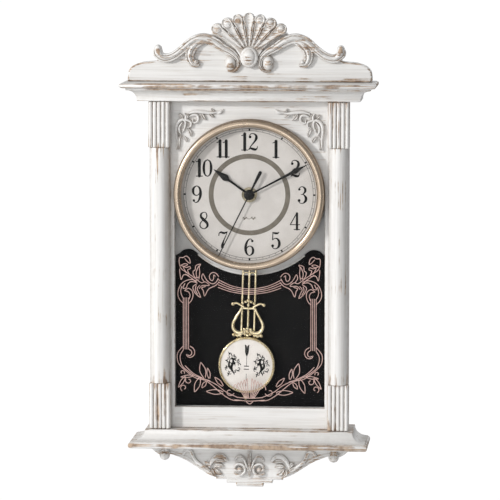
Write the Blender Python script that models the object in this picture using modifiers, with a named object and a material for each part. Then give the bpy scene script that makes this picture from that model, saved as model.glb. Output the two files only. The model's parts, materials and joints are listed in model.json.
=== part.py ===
"""Pendulum wall clock in a painted wooden case, with a quartz movement and a swinging bob.

World frame: metres, +Z up, the clock faces -Y and its back lies on the wall plane Y = 0.
The origin is where the wall screw carries the keyhole hanger. Sizes below are in millimetres;
a "depth" is the distance in front of the wall, so depth d lies at Y = -d.
"""

import math

import bmesh
import bpy

MM = 0.001
GAP = 0.3                     # clearance between touching pieces

# ---- case ----
CASE_HALF_WIDTH = 98.0
CASE_TOP = 31.2
CASE_BOTTOM = -298.5
RAIL = 4.0                    # thickness of the four case rails
FRAME_BACK, FRAME_FRONT = 24.0, 34.0
PANEL_BACK, PANEL_FRONT = 9.5, 12.5
SHEET_THICKNESS = 0.8

# ---- dial ----
DIAL_Z = -62.3
DIAL_HOLE_R = 66.0
BEZEL_R = 75.7
BEZEL_LIP_R = 67.8
SPACER_R = 69.4
DIAL_R = 71.8
ROUND_STEPS = 72

# ---- window ----
WINDOW_HALF_WIDTH = 75.5
WINDOW_BOTTOM = -277.5
PANE_BACK, PANE_FRONT = 31.4, 33.0
SHEET_ARC_R = 82.3            # concave top edge of the backdrop, round the dial
HUMP_X, HUMP_Z = 63.6, -119.8
SHEET_SIDE_Z = -126.2

# ---- pillars ----
PILLAR_X = 89.6
PILLAR_HALF_WIDTH = 10.7
BLOCK_HEIGHT = 45.8
BLOCK_FRONT = 46.0
REEDS = 5
REED_PITCH = 4.2
COLUMN_FRONT = 47.6

# ---- mouldings: half width minus depth is the same at every level ----
CORNICE_SETBACK = 62.5
CORNICE_TOP = 50.0
BASE_SETBACK = 55.8
BASE_BOTTOM = -316.0

# ---- crest ----
CREST_BACK = 22.0
CREST_BASE = CORNICE_TOP + GAP
SHELL_CENTRE_Z = 78.0
SHELL_LOBES = ((90.0, 41.2, 6.4), (72.0, 41.4, 6.0), (54.5, 43.2, 6.4), (38.0, 46.2, 6.2))
SHELL_VALLEY_R = 31.0
SHELL_SIDE_RAY = 31.0         # lowest ray of the fan, in degrees over the horizontal
SHELL_DEPTH = 9.5
CARVING_DEPTH = 7.0
BUD_Z, BUD_HALF_WIDTH, BUD_HALF_HEIGHT = 74.8, 9.0, 10.4

# ---- apron ----
APRON_TOP = BASE_BOTTOM - GAP
DROP_X, DROP_Z, DROP_R = 85.2, -325.8, 5.3

# ---- pendulum ----
PIVOT_Z, PIVOT_DEPTH = -98.0, 20.0
REST_TILT = 1.66              # degrees, bob towards -X
BOB_DROP = 138.3
BOB_R = 29.2

# ---- hands, as clock angles from twelve ----
HOUR_ANGLE = 305.3
MINUTE_ANGLE = 62.2
SECOND_ANGLE = 206.5

# ---- movement ----
MOVEMENT_HALF = 28.0
MOVEMENT_WALL = 1.2
COVER_BACK, COVER_FRONT = 16.0, 17.0
BATTERY_Z, BATTERY_DEPTH, BATTERY_R = -80.6, 25.0, 7.0
KNOB_X, KNOB_Z = 15.0, -50.0

FACING_FRONT = (math.radians(90.0), 0.0, 0.0)

WHITE_PAINT = ((0.83, 0.81, 0.78), 0.55, 0.0)
WORN_PAINT = ((0.72, 0.66, 0.58), 0.6, 0.0)
BARE_BOARD = ((0.50, 0.38, 0.26), 0.8, 0.0)
BLACK_CARD = ((0.012, 0.012, 0.013), 0.45, 0.0)
GOLD = ((0.70, 0.58, 0.36), 0.3, 0.9)
BRASS = ((0.72, 0.60, 0.32), 0.25, 0.95)
STEEL = ((0.62, 0.62, 0.62), 0.35, 0.9)
COPPER = ((0.70, 0.34, 0.18), 0.35, 0.9)
BLACK_METAL = ((0.01, 0.01, 0.01), 0.35, 0.3)
BLACK_PLASTIC = ((0.02, 0.02, 0.02), 0.5, 0.0)
WHITE_PLASTIC = ((0.80, 0.80, 0.78), 0.45, 0.0)
DIAL_CARD = ((0.72, 0.69, 0.65), 0.6, 0.0)
GLASS = ((0.95, 0.97, 0.97), 0.03, 0.0)
ENAMEL = ((0.86, 0.82, 0.74), 0.15, 0.0)
GREEN_BOARD = ((0.05, 0.25, 0.10), 0.5, 0.0)
BATTERY_JACKET = ((0.10, 0.10, 0.11), 0.35, 0.3)


# ---------------------------------------------------------------- scene and materials

def clear_scene():
    for old in list(bpy.data.objects):
        bpy.data.objects.remove(old, do_unlink=True)


def new_collection(name):
    collection = bpy.data.collections.new(name)
    bpy.context.scene.collection.children.link(collection)
    return collection


def paint(obj, finish):
    colour, roughness, metallic = finish
    material = bpy.data.materials.new(obj.name)
    material.use_nodes = True
    shader = material.node_tree.nodes["Principled BSDF"]
    shader.inputs["Base Color"].default_value = (*colour, 1.0)
    shader.inputs["Roughness"].default_value = roughness
    shader.inputs["Metallic"].default_value = metallic
    material.diffuse_color = (*colour, 1.0)
    obj.data.materials.append(material)


def add_object(name, data, finish, parent=None):
    obj = bpy.data.objects.new(name, data)
    PARTS.objects.link(obj)
    if parent is not None:
        obj.parent = parent
    if finish is not None:
        paint(obj, finish)
    return obj


def make_cutter(obj):
    PARTS.objects.unlink(obj)
    CUTTERS.objects.link(obj)
    obj.hide_render = True
    obj.display_type = "WIRE"
    return obj


def cut(obj, cutter, operation="DIFFERENCE"):
    modifier = obj.modifiers.new(cutter.name, "BOOLEAN")
    modifier.operation = operation
    modifier.solver = "EXACT"
    modifier.object = make_cutter(cutter)


# ---------------------------------------------------------------- shape helpers

def box(name, x_range, depth_range, z_range, finish=None, parent=None):
    """A box between two corners, in millimetres."""
    centre = [sum(x_range) / 2, -sum(depth_range) / 2, sum(z_range) / 2]
    size = [x_range[1] - x_range[0], depth_range[1] - depth_range[0], z_range[1] - z_range[0]]
    bm = bmesh.new()
    bmesh.ops.create_cube(bm, size=1.0)
    bmesh.ops.scale(bm, vec=[s * MM for s in size], verts=bm.verts)
    mesh = bpy.data.meshes.new(name)
    bm.to_mesh(mesh)
    bm.free()
    obj = add_object(name, mesh, finish, parent)
    obj.location = [c * MM for c in centre]
    return obj


def arc(cx, cz, radius, start, end, count):
    """Points on a circle from start to end degrees, both ends included."""
    angles = [math.radians(start + (end - start) * i / (count - 1)) for i in range(count)]
    return [(cx + radius * math.cos(a), cz + radius * math.sin(a)) for a in angles]


def circle(cx, cz, radius, count=ROUND_STEPS):
    return arc(cx, cz, radius, 0.0, 360.0 * (count - 1) / count, count)


def mirrored(half):
    """Closes a right-hand half outline, listed bottom to top or top to bottom, with its mirror image."""
    left = [(-x, z) for x, z in reversed(half) if abs(x) > 1e-6]
    return half + left


def smooth(points, per_span=4):
    """Points of a Catmull-Rom curve through the given ones."""
    ends = [points[0]] + list(points) + [points[-1]]
    result = []
    for a, b, c, d in zip(ends, ends[1:], ends[2:], ends[3:]):
        for i in range(per_span):
            t = i / per_span
            result.append(tuple(
                0.5 * (2 * q + (r - p) * t + (2 * p - 5 * q + 4 * r - s) * t * t
                       + (3 * q - p - 3 * r + s) * t ** 3)
                for p, q, r, s in zip(a, b, c, d)
            ))
    result.append(tuple(points[-1]))
    return result


def ribbon(centreline, per_span=4):
    """Outline of a band: each entry is (x, z, half width). Both ends are round."""
    line = smooth(centreline, per_span)
    left, right = [], []
    for i, (x, z, half) in enumerate(line):
        before, after = line[max(i - 1, 0)], line[min(i + 1, len(line) - 1)]
        dx, dz = after[0] - before[0], after[1] - before[1]
        length = math.hypot(dx, dz)
        nx, nz = -dz / length, dx / length
        left.append((x + nx * half, z + nz * half))
        right.append((x - nx * half, z - nz * half))
    return left + round_end(line[-1], left[-1]) + right[::-1] + round_end(line[0], right[0])


def round_end(centre, first, steps=6):
    start = math.atan2(first[1] - centre[1], first[0] - centre[0])
    return [
        (centre[0] + centre[2] * math.cos(start - math.pi * i / steps),
         centre[1] + centre[2] * math.sin(start - math.pi * i / steps))
        for i in range(1, steps)
    ]


def outline_curve(name, loops, thickness, finish, parent):
    curve = bpy.data.curves.new(name, "CURVE")
    curve.dimensions = "2D"
    curve.fill_mode = "BOTH"
    curve.extrude = thickness / 2 * MM
    for loop in loops:
        spline = curve.splines.new("POLY")
        spline.points.add(len(loop) - 1)
        for point, (x, z) in zip(spline.points, loop):
            point.co = (x * MM, z * MM, 0.0, 1.0)
        spline.use_cyclic_u = True
    return add_object(name, curve, finish, parent)


def plate(name, loops, depth_range, finish=None, parent=None, origin=(0.0, 0.0)):
    """A flat board facing the front: loops are (x, z) outlines, the first outer, the rest holes."""
    shifted = [[(x - origin[0], z - origin[1]) for x, z in loop] for loop in loops]
    obj = outline_curve(name, shifted, depth_range[1] - depth_range[0], finish, parent)
    obj.rotation_euler = FACING_FRONT
    obj.location = (origin[0] * MM, -sum(depth_range) / 2 * MM, origin[1] * MM)
    return obj


def plan_prism(name, loop, z_range, finish):
    """A prism standing on Z whose section is an (x, depth) outline."""
    flat = [(x, -depth) for x, depth in loop]
    obj = outline_curve(name, [flat], z_range[1] - z_range[0], finish, None)
    obj.location = (0.0, 0.0, sum(z_range) / 2 * MM)
    return obj


def as_mesh(obj, finish):
    """Turns a curve object into a welded mesh object of the same name and place."""
    bpy.context.view_layer.update()
    evaluated = obj.evaluated_get(bpy.context.evaluated_depsgraph_get())
    mesh = bpy.data.meshes.new_from_object(evaluated)
    bm = bmesh.new()
    bm.from_mesh(mesh)
    bmesh.ops.remove_doubles(bm, verts=bm.verts, dist=1e-6)
    bm.to_mesh(mesh)
    bm.free()
    mesh.materials.clear()
    name, matrix = obj.name, obj.matrix_world.copy()
    bpy.data.objects.remove(obj)
    solid = add_object(name, mesh, finish)
    solid.matrix_world = matrix
    return solid


def turned(name, profile, centre, finish, steps=ROUND_STEPS, closed=False, upright=False, parent=None):
    """A turned piece. profile is (radius, height) down its outer side; height is depth unless upright."""
    mesh = bpy.data.meshes.new(name)
    edges = [(i, i + 1) for i in range(len(profile) - 1)]
    if closed:
        edges.append((len(profile) - 1, 0))
    mesh.from_pydata([(r * MM, 0.0, h * MM) for r, h in profile], edges, [])
    obj = add_object(name, mesh, finish, parent)
    screw = obj.modifiers.new("turn", "SCREW")
    screw.axis = "Z"
    screw.steps = steps
    screw.render_steps = steps
    screw.use_merge_vertices = True
    screw.merge_threshold = 0.00001
    x, depth, z = centre
    obj.location = (x * MM, -depth * MM, z * MM)
    if not upright:
        obj.rotation_euler = FACING_FRONT
    return obj


def tube_profile(outer, inner, low, high):
    return [(outer, high), (outer, low), (inner, low), (inner, high)]


def disc_profile(radius, low, high):
    return [(0.0, high), (radius, high), (radius, low), (0.0, low)]


def moulding(name, levels, setback, finish):
    """A moulding on three sides of the case: levels are (half width, z), from bottom to top."""
    bm = bmesh.new()
    rings = []
    for half, z in levels:
        front = half - setback
        corners = ((half, 0.0), (half, front), (-half, front), (-half, 0.0))
        rings.append([bm.verts.new((x * MM, -depth * MM, z * MM)) for x, depth in corners])
    for low, high in zip(rings, rings[1:]):
        for i in range(4):
            j = (i + 1) % 4
            bm.faces.new((low[i], low[j], high[j], high[i]))
    bm.faces.new(reversed(rings[0]))
    bm.faces.new(rings[-1])
    bmesh.ops.recalc_face_normals(bm, faces=bm.faces)
    mesh = bpy.data.meshes.new(name)
    bm.to_mesh(mesh)
    bm.free()
    return add_object(name, mesh, finish)


def for_both_sides(build):
    """Calls build(side name, sign of x) for the left and the right of the clock."""
    for side, sign in (("left", -1), ("right", 1)):
        build(side, sign)


# ---------------------------------------------------------------- case

def window_outline(inset):
    """The pendulum window: straight sides and sill, and a top edge round the dial."""
    half = WINDOW_HALF_WIDTH - inset
    radius = BEZEL_R + inset
    sill = WINDOW_BOTTOM + inset
    start = math.degrees(math.acos(half / radius))
    return [(-half, sill), (half, sill)] + arc(0.0, DIAL_Z, radius, -start, start - 180.0, 41)


def build_frame():
    outer = [
        (-CASE_HALF_WIDTH, CASE_BOTTOM), (CASE_HALF_WIDTH, CASE_BOTTOM),
        (CASE_HALF_WIDTH, CASE_TOP), (-CASE_HALF_WIDTH, CASE_TOP),
    ]
    loops = [outer, circle(0.0, DIAL_Z, DIAL_HOLE_R), window_outline(0.0)]
    plate("front_frame", loops, (FRAME_BACK, FRAME_FRONT), WHITE_PAINT)


def build_rails():
    depth = (0.0, FRAME_BACK - GAP)
    inner = CASE_HALF_WIDTH - RAIL

    def side_rail(side, sign):
        edges = sorted((sign * inner, sign * CASE_HALF_WIDTH))
        box(f"side_rail_{side}", edges, depth, (CASE_BOTTOM, CASE_TOP), WHITE_PAINT)

    for_both_sides(side_rail)
    across = (-inner + GAP, inner - GAP)
    box("top_rail", across, depth, (CASE_TOP - RAIL, CASE_TOP), WHITE_PAINT)
    box("bottom_rail", across, depth, (CASE_BOTTOM, CASE_BOTTOM + RAIL), WHITE_PAINT)


def build_back_panel():
    half = CASE_HALF_WIDTH - RAIL - GAP
    low, high = CASE_BOTTOM + RAIL + GAP, CASE_TOP - RAIL - GAP
    outer = [(-half, low), (half, low), (half, high), (-half, high)]
    access = [(-31.0, -94.0), (31.0, -94.0), (31.0, -31.0), (-31.0, -31.0)]
    hanger_hole = circle(0.0, -4.0, 9.0, 32)
    plate("back_panel", [outer, access, hanger_hole], (PANEL_BACK, PANEL_FRONT), BARE_BOARD)


def build_backdrop():
    """Black card behind the pendulum, with two humps and a concave arc round the dial."""
    half = CASE_HALF_WIDTH - RAIL - 2 * GAP
    arc_half_angle = 42.0
    hump_in = arc(0.0, DIAL_Z, SHEET_ARC_R, -90.0 + arc_half_angle, -90.0, 13)[:-1]
    hump_out = smooth([(half, SHEET_SIDE_Z - 4.5), (WINDOW_HALF_WIDTH, SHEET_SIDE_Z + 0.4),
                       (HUMP_X + 5.5, HUMP_Z - 1.4), (HUMP_X, HUMP_Z), (HUMP_X - 4.5, HUMP_Z - 0.9), hump_in[0]])
    right = [(half, WINDOW_BOTTOM - 8.0)] + hump_out[:-1] + hump_in
    outline = right + [(0.0, DIAL_Z - SHEET_ARC_R)] + [(-x, z) for x, z in reversed(right)]
    back = PANEL_FRONT + GAP
    plate("backdrop_sheet", [outline], (back, back + SHEET_THICKNESS), BLACK_CARD)


def build_pane():
    plate("window_pane", [window_outline(GAP)], (PANE_BACK, PANE_FRONT), GLASS)


def build_case():
    build_frame()
    build_rails()
    build_back_panel()
    build_backdrop()
    build_pane()


# ---------------------------------------------------------------- pillars and mouldings

def reeded_section(cx):
    """Plan of a block with convex reeds on its front face."""
    reed_r = REED_PITCH / 2
    back, shoulder = FRAME_FRONT + GAP, BLOCK_FRONT - reed_r
    section = [(cx + PILLAR_HALF_WIDTH, shoulder), (cx + PILLAR_HALF_WIDTH, back),
               (cx - PILLAR_HALF_WIDTH, back), (cx - PILLAR_HALF_WIDTH, shoulder)]
    for i in range(REEDS):
        centre = cx + (i - (REEDS - 1) / 2) * REED_PITCH
        section += arc(centre, shoulder, reed_r * 0.96, 180.0, 0.0, 7)
    return section


def column_section(cx):
    back = FRAME_FRONT + GAP
    rise = COLUMN_FRONT - back
    half = PILLAR_HALF_WIDTH - 0.2
    curve = arc(0.0, 0.0, 1.0, 0.0, 180.0, 17)
    return [(cx + half * x, back + rise * max(y, 0.0)) for x, y in curve]


def build_pillars():
    block_top = (CASE_TOP - GAP - BLOCK_HEIGHT, CASE_TOP - GAP)
    block_bottom = (CASE_BOTTOM + GAP, CASE_BOTTOM + GAP + BLOCK_HEIGHT)
    shaft = (block_bottom[1] + GAP, block_top[0] - GAP)

    def pillar(side, sign):
        cx = sign * PILLAR_X
        plan_prism(f"fluted_block_top_{side}", reeded_section(cx), block_top, WORN_PAINT)
        plan_prism(f"fluted_block_bottom_{side}", reeded_section(cx), block_bottom, WORN_PAINT)
        plan_prism(f"half_column_{side}", column_section(cx), shaft, WHITE_PAINT)

    for_both_sides(pillar)


def nosing(half, centre_z, bulge, rise, count=9):
    """A half-round edge, from bottom to top."""
    return [(half + bulge * x, centre_z + rise * z) for x, z in arc(0.0, 0.0, 1.0, -90.0, 90.0, count)]


def cove(half, start_z, spread, rise, count=9):
    """A concave sweep that leaves the case upright and ends level, in the direction of rise."""
    angles = [math.pi / 2 * i / (count - 1) for i in range(count)]
    return [(half + spread * (1 - math.cos(a)), start_z + rise * math.sin(a)) for a in angles]


def build_cornice():
    levels = [(110.6, CASE_TOP + GAP), (111.4, CASE_TOP + GAP + 0.8)]
    levels += cove(111.4, CASE_TOP + GAP + 1.2, 9.8, 10.2)
    levels += [(121.5, 43.2), (121.5, 44.6), (124.0, 44.9)]
    levels += nosing(124.4, 47.5, 2.7, 2.5)[1:]
    moulding("cornice_moulding", levels, CORNICE_SETBACK, WORN_PAINT)


def build_base():
    top = CASE_BOTTOM - GAP
    flare = cove(104.6, top - 1.2, 12.8, -9.8)
    levels = nosing(117.2, -313.0, 2.6, 3.0)[:-1] + [(117.4, -310.0)] + flare[::-1] + [(104.0, top)]
    moulding("base_moulding", levels, BASE_SETBACK, WORN_PAINT)


# ---------------------------------------------------------------- crest

def shell_outline():
    """Seven round lobes on rays from a common centre, over an oval bud; the outline is their far side."""
    lobes = []
    for angle, tip, radius in SHELL_LOBES:
        lobes.append((angle, tip - radius, radius))
        if angle != 90.0:
            lobes.append((180.0 - angle, tip - radius, radius))
    points = []
    steps = 84
    for i in range(steps + 1):
        ray = SHELL_SIDE_RAY + (180.0 - 2 * SHELL_SIDE_RAY) * i / steps
        reach = SHELL_VALLEY_R
        for angle, distance, radius in lobes:
            off = math.radians(ray - angle)
            inside = radius ** 2 - (distance * math.sin(off)) ** 2
            if inside > 0.0:
                reach = max(reach, distance * math.cos(off) + math.sqrt(inside))
        a = math.radians(ray)
        points.append((reach * math.cos(a), SHELL_CENTRE_Z + reach * math.sin(a)))
    flank = [(10.0, 77.0), (13.5, 82.5), (20.0, 89.0), (27.0, 94.5)]
    bud = [(BUD_HALF_WIDTH * x, BUD_Z + BUD_HALF_HEIGHT * z) for x, z in arc(0.0, 0.0, 1.0, 180.0, 360.0, 13)]
    return flank + points + [(-x, z) for x, z in reversed(flank)] + bud


def crest_board_outline():
    shoulder = [(122.0, CREST_BASE), (121.8, 58.5), (118.6, 64.2), (113.0, 67.4), (106.5, 69.8), (100.0, 70.0)]
    sweep = smooth([(94.0, 70.6), (84.0, 75.0), (75.0, 78.5), (66.0, 84.0), (58.0, 91.0), (49.0, 94.5), (40.0, 95.5)])
    cap = smooth([(35.0, 100.5), (27.0, 107.0), (14.0, 112.0), (0.0, 113.5)])
    return mirrored(shoulder + sweep + cap)


def scroll_arm(side, sign):
    """An S-scroll: a curled outer tip, a rising arm, and an eye beside the bud; one short inner curl."""
    arm = [(92.0, 84.0, 3.0), (91.5, 78.0, 4.4), (85.0, 73.8, 4.4), (76.0, 75.8, 4.2), (66.5, 82.6, 4.2),
           (57.0, 90.4, 4.6), (46.0, 93.6, 5.0), (35.0, 90.4, 5.2), (26.0, 83.0, 4.4), (19.5, 70.5, 8.2)]
    curl = [(44.0, 92.5, 3.0), (54.0, 86.5, 4.2), (58.5, 76.0, 4.4), (56.0, 67.0, 4.4)]
    depth = (FRAME_FRONT + GAP, FRAME_FRONT + GAP + CARVING_DEPTH)
    name = f"crest_scroll_{side}"

    def band(band_name, line, band_depth, finish):
        flipped = [(sign * x, z, half) for x, z, half in line]
        return as_mesh(plate(band_name, [ribbon(flipped)], band_depth), finish)

    obj = band(name, arm, depth, WHITE_PAINT)
    cut(obj, band(f"{name}_curl", curl, (depth[0], depth[1] - 1.0), None), "UNION")
    return obj


def build_crest():
    plate("crest_board", [crest_board_outline()], (CREST_BACK, FRAME_FRONT), WHITE_PAINT)
    back = FRAME_FRONT + GAP
    plate("crest_shell", [shell_outline()], (back, back + SHELL_DEPTH), WORN_PAINT)
    for_both_sides(scroll_arm)


# ---------------------------------------------------------------- apron and ornaments

def apron_outline():
    edge = smooth([(101.0, APRON_TOP), (98.8, -321.4), (93.0, -326.0), (88.0, -327.5), (80.0, -326.5),
                   (66.5, -331.4), (57.6, -336.6), (49.0, -342.2), (41.5, -346.6), (34.0, -349.3)], 3)
    steps = [(33.6, -351.2), (23.4, -351.2), (23.0, -354.6), (14.0, -354.6), (13.6, -358.2)]
    return mirrored(edge + steps)


def build_apron():
    plate("apron_board", [apron_outline()], (CREST_BACK, FRAME_FRONT), WHITE_PAINT)
    stem = [(2.0, APRON_TOP - 2.0), (2.6, -330.0), (8.0, -331.0), (14.0, -329.0), (15.4, -334.0),
            (16.0, -340.0), (11.0, -344.4), (5.0, -343.0), (2.2, -346.0), (0.0, -347.5)]
    plate("apron_carving", [mirrored(stem)], (FRAME_FRONT + GAP, FRAME_FRONT + 4.0), WORN_PAINT)

    def drop(side, sign):
        neck = 2.2
        top = APRON_TOP - DROP_Z
        ball = arc(0.0, 0.0, DROP_R, 65.0, -90.0, 13)
        profile = [(0.0, top), (neck, top)] + [(abs(r), h) for r, h in ball[:-1]] + [(0.0, -DROP_R)]
        turned(f"drop_finial_{side}", profile, (sign * DROP_X, 40.0, DROP_Z), WORN_PAINT, 24, upright=True)

    for_both_sides(drop)


def build_spandrels():
    """Leaf scrolls that fill the corners over the dial."""
    def spandrel(side, sign):
        stem = [(71.0, -20.0, 1.4), (70.5, -6.0, 3.4), (66.0, 8.0, 4.8), (58.0, 17.0, 5.4), (45.0, 20.0, 4.4),
                (33.0, 20.5, 2.6), (26.5, 22.0, 1.4)]
        outline = ribbon([(sign * x, z, half) for x, z, half in stem])
        plate(f"spandrel_{side}", [outline], (FRAME_FRONT + GAP, FRAME_FRONT + 3.0), WHITE_PAINT)

    for_both_sides(spandrel)


# ---------------------------------------------------------------- dial

def build_dial():
    centre = (0.0, 0.0, DIAL_Z)
    dial_back = FRAME_FRONT + GAP
    dial_front = dial_back + 0.8
    spacer = (dial_front + GAP, 41.4)
    lens = (41.7, 43.2)
    plate("dial_plate", [circle(0.0, DIAL_Z, DIAL_R), circle(0.0, DIAL_Z, 4.3, 24)],
          (dial_back, dial_front), DIAL_CARD)
    turned("dial_spacer", tube_profile(DIAL_R, SPACER_R, *spacer), centre, GOLD, closed=True)
    plate("lens", [circle(0.0, DIAL_Z, DIAL_R)], lens, GLASS)
    shell_r = DIAL_R + GAP
    bezel = [(shell_r, 46.4), (BEZEL_R - 1.2, 45.6), (BEZEL_R, 43.8), (BEZEL_R, dial_back), (shell_r, dial_back),
             (shell_r, lens[1] + GAP), (BEZEL_LIP_R, lens[1] + GAP), (BEZEL_LIP_R + 0.6, 44.6),
             (BEZEL_LIP_R + 2.2, 46.0)]
    turned("bezel", bezel, centre, GOLD, closed=True)


def hand_outline(length, hub_r, stem, bulge, bulge_at, tail):
    """A spade hand pointing up, with a round hub and a short tail."""
    hub = arc(0.0, 0.0, hub_r, 68.0, -68.0, 13)
    right = [(0.0, length), (stem * 0.3, length * (bulge_at + 0.16)), (bulge, length * (bulge_at + 0.02)),
             (bulge * 0.8, length * (bulge_at - 0.07)), (stem, length * (bulge_at - 0.1)), (stem, hub_r * 0.93)]
    end = [(stem, -hub_r * 0.93), (stem, -tail)] if tail > hub_r else [(0.0, -hub_r)]
    return mirrored(right + hub + end)


def build_hand(name, outline, bore_r, depth_range, angle):
    shifted = [[(x, z + DIAL_Z) for x, z in outline]]
    if bore_r > 0.0:
        shifted.append(circle(0.0, DIAL_Z, bore_r, 20))
    finish = None if name == "second_hand" else BLACK_METAL
    obj = plate(name, shifted, depth_range, finish, origin=(0.0, DIAL_Z))
    obj.rotation_euler = (math.radians(90.0), math.radians(angle), 0.0)
    return obj


def arbor_profile(outer, inner, low, high, wheel_r, wheel_thickness):
    """A tube with a toothless wheel at its rear end."""
    return [(outer, high), (outer, low + wheel_thickness), (wheel_r, low + wheel_thickness), (wheel_r, low),
            (inner, low), (inner, high)]


def build_hands():
    centre = (0.0, 0.0, DIAL_Z)
    build_hand("hour_hand", hand_outline(44.0, 4.8, 1.0, 3.4, 0.74, 0.0), 2.9, (37.2, 37.6), HOUR_ANGLE)
    build_hand("minute_hand", hand_outline(68.2, 4.4, 0.9, 2.9, 0.78, 0.0), 1.9, (38.3, 38.7), MINUTE_ANGLE)
    second_outline = hand_outline(68.2, 3.4, 0.45, 0.5, 0.78, 26.0)
    second_hand = as_mesh(build_hand("second_hand", second_outline, 0.0, (39.4, 39.8), SECOND_ANGLE), BLACK_METAL)
    cap = [(0.0, 41.3), (2.6, 41.2), (4.4, 40.8), (5.1, 40.2), (5.1, 39.6), (0.0, 39.6)]
    cut(second_hand, turned("second_hand_cap", cap, centre, None, 24), "UNION")
    turned("hour_tube", arbor_profile(2.6, 1.9, 24.0, 37.9, 9.0, 1.0), centre, BRASS, 24, closed=True)
    turned("minute_arbor", arbor_profile(1.6, 0.9, 21.0, 38.9, 8.0, 1.0), centre, STEEL, 24, closed=True)
    second = [(0.0, 39.1), (0.6, 39.1), (0.6, 19.6), (7.0, 19.6), (7.0, 18.8), (0.0, 18.8)]
    turned("second_arbor", second, centre, STEEL, 24)


# ---------------------------------------------------------------- movement

def build_movement_case():
    half, wall = MOVEMENT_HALF, MOVEMENT_WALL
    front = FRAME_FRONT
    z_range = (DIAL_Z - half, DIAL_Z + half)
    case = box("movement_case", (-half, half), (COVER_FRONT + GAP, front), z_range, BLACK_PLASTIC)
    hollow = box("movement_hollow", (-half + wall, half - wall), (COVER_FRONT - 5.0, front - wall),
                 (z_range[0] + wall, z_range[1] - wall))
    cut(case, hollow)
    bore = as_mesh(plate("movement_bore", [circle(0.0, DIAL_Z, 4.3, 24)], (front - 4.0, front + 4.0)), None)
    cut(case, bore)

    battery_door = [(-25.6, BATTERY_Z - 7.4), (25.6, BATTERY_Z - 7.4), (25.6, BATTERY_Z + 7.4), (-25.6, BATTERY_Z + 7.4)]
    outer = [(-half, z_range[0]), (half, z_range[0]), (half, z_range[1]), (-half, z_range[1])]
    plate("movement_cover", [outer, battery_door, circle(KNOB_X, KNOB_Z, 1.9, 20)],
          (COVER_BACK, COVER_FRONT), BLACK_PLASTIC)


def build_movement_inside():
    centre = (0.0, 0.0, DIAL_Z)
    turned("threaded_post", tube_profile(4.0, 2.95, 30.0, 36.9), centre, BRASS, 24, closed=True)
    turned("dial_nut", tube_profile(7.6, 4.3, 35.4, 36.7), centre, BRASS, 24, closed=True)
    box("circuit_board", (-25.0, -11.0), (30.0, 31.2), (-60.0, -38.0), GREEN_BOARD)
    coil = turned("stepper_coil", disc_profile(3.6, -9.0, 9.0), (-13.0, 23.0, -40.5), COPPER, 24)
    coil.rotation_euler = (0.0, math.radians(90.0), 0.0)
    cell = [(0.0, 25.0), (2.6, 25.0), (2.6, 23.8), (BATTERY_R, 23.6), (BATTERY_R, -24.6), (0.0, -24.6)]
    battery = turned("battery_aa", cell, (0.0, BATTERY_DEPTH, BATTERY_Z), BATTERY_JACKET, 24)
    battery.rotation_euler = (0.0, math.radians(90.0), 0.0)
    knob = [(0.0, 22.0), (1.5, 22.0), (1.5, 15.7), (5.4, 15.7), (5.6, 15.2), (5.6, 13.4), (5.2, 13.0), (0.0, 13.0)]
    turned("set_knob", knob, (KNOB_X, 0.0, KNOB_Z), WHITE_PLASTIC, 24)


def build_pendulum_drive():
    top = DIAL_Z - MOVEMENT_HALF - GAP
    wall = 1.3
    case = box("pendulum_drive_case", (-17.0, 17.0), (14.0, 26.0), (-122.0, top), BLACK_PLASTIC)
    hollow = box("drive_hollow", (-17.0 + wall, 17.0 - wall), (14.0 + wall, 26.0 - wall), (-130.0, top - wall))
    cut(case, hollow)
    turned("pendulum_coil", tube_profile(5.5, 2.0, 22.0, 24.3), (0.0, 0.0, -111.0), COPPER, 24, closed=True)


def build_hanger():
    """Keyhole plate behind the panel; the wall screw's head enters low and the clock drops on to it."""
    slot_r, head_r, head_z = 2.2, 4.4, -9.0
    join = math.degrees(math.asin(slot_r / head_r))
    keyhole = arc(0.0, 0.0, slot_r, 0.0, 180.0, 9) + arc(0.0, head_z, head_r, 90.0 + join, 450.0 - join, 19)
    outer = mirrored([(15.0, -17.0), (18.0, -14.0), (18.0, 5.0), (15.0, 8.0)])
    holes = [circle(sign * 14.0, -4.0, 1.7, 16) for sign in (-1, 1)]
    front = PANEL_BACK - GAP
    plate("hanger_plate", [outer, keyhole] + holes, (front - 1.2, front), STEEL)

    def screw(side, sign):
        head_back = front - 1.2 - GAP
        profile = [(0.0, front), (1.4, front), (1.4, head_back), (3.0, head_back), (2.4, head_back - 1.3),
                   (0.0, head_back - 1.5)]
        turned(f"hanger_screw_{side}", profile, (sign * 14.0, 0.0, -4.0), STEEL, 16)

    for_both_sides(screw)


def build_panel_screws():
    head_front = PANEL_BACK - GAP
    profile = [(0.0, head_front), (3.2, head_front), (2.6, head_front - 1.5), (0.0, head_front - 1.8)]
    heights = {"top": 18.0, "bottom": -286.0}
    for level, z in heights.items():
        for side, sign in (("left", -1), ("right", 1)):
            turned(f"panel_screw_{level}_{side}", profile, (sign * 86.0, 0.0, z), STEEL, 16)


# ---------------------------------------------------------------- pendulum

def pendulum_plate(name, loops, depth_range, finish, pivot):
    """A flat piece of the pendulum: (x, height over the pivot), depth from the wall."""
    return plate(name, loops, [d - PIVOT_DEPTH for d in depth_range], finish, pivot)


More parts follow.
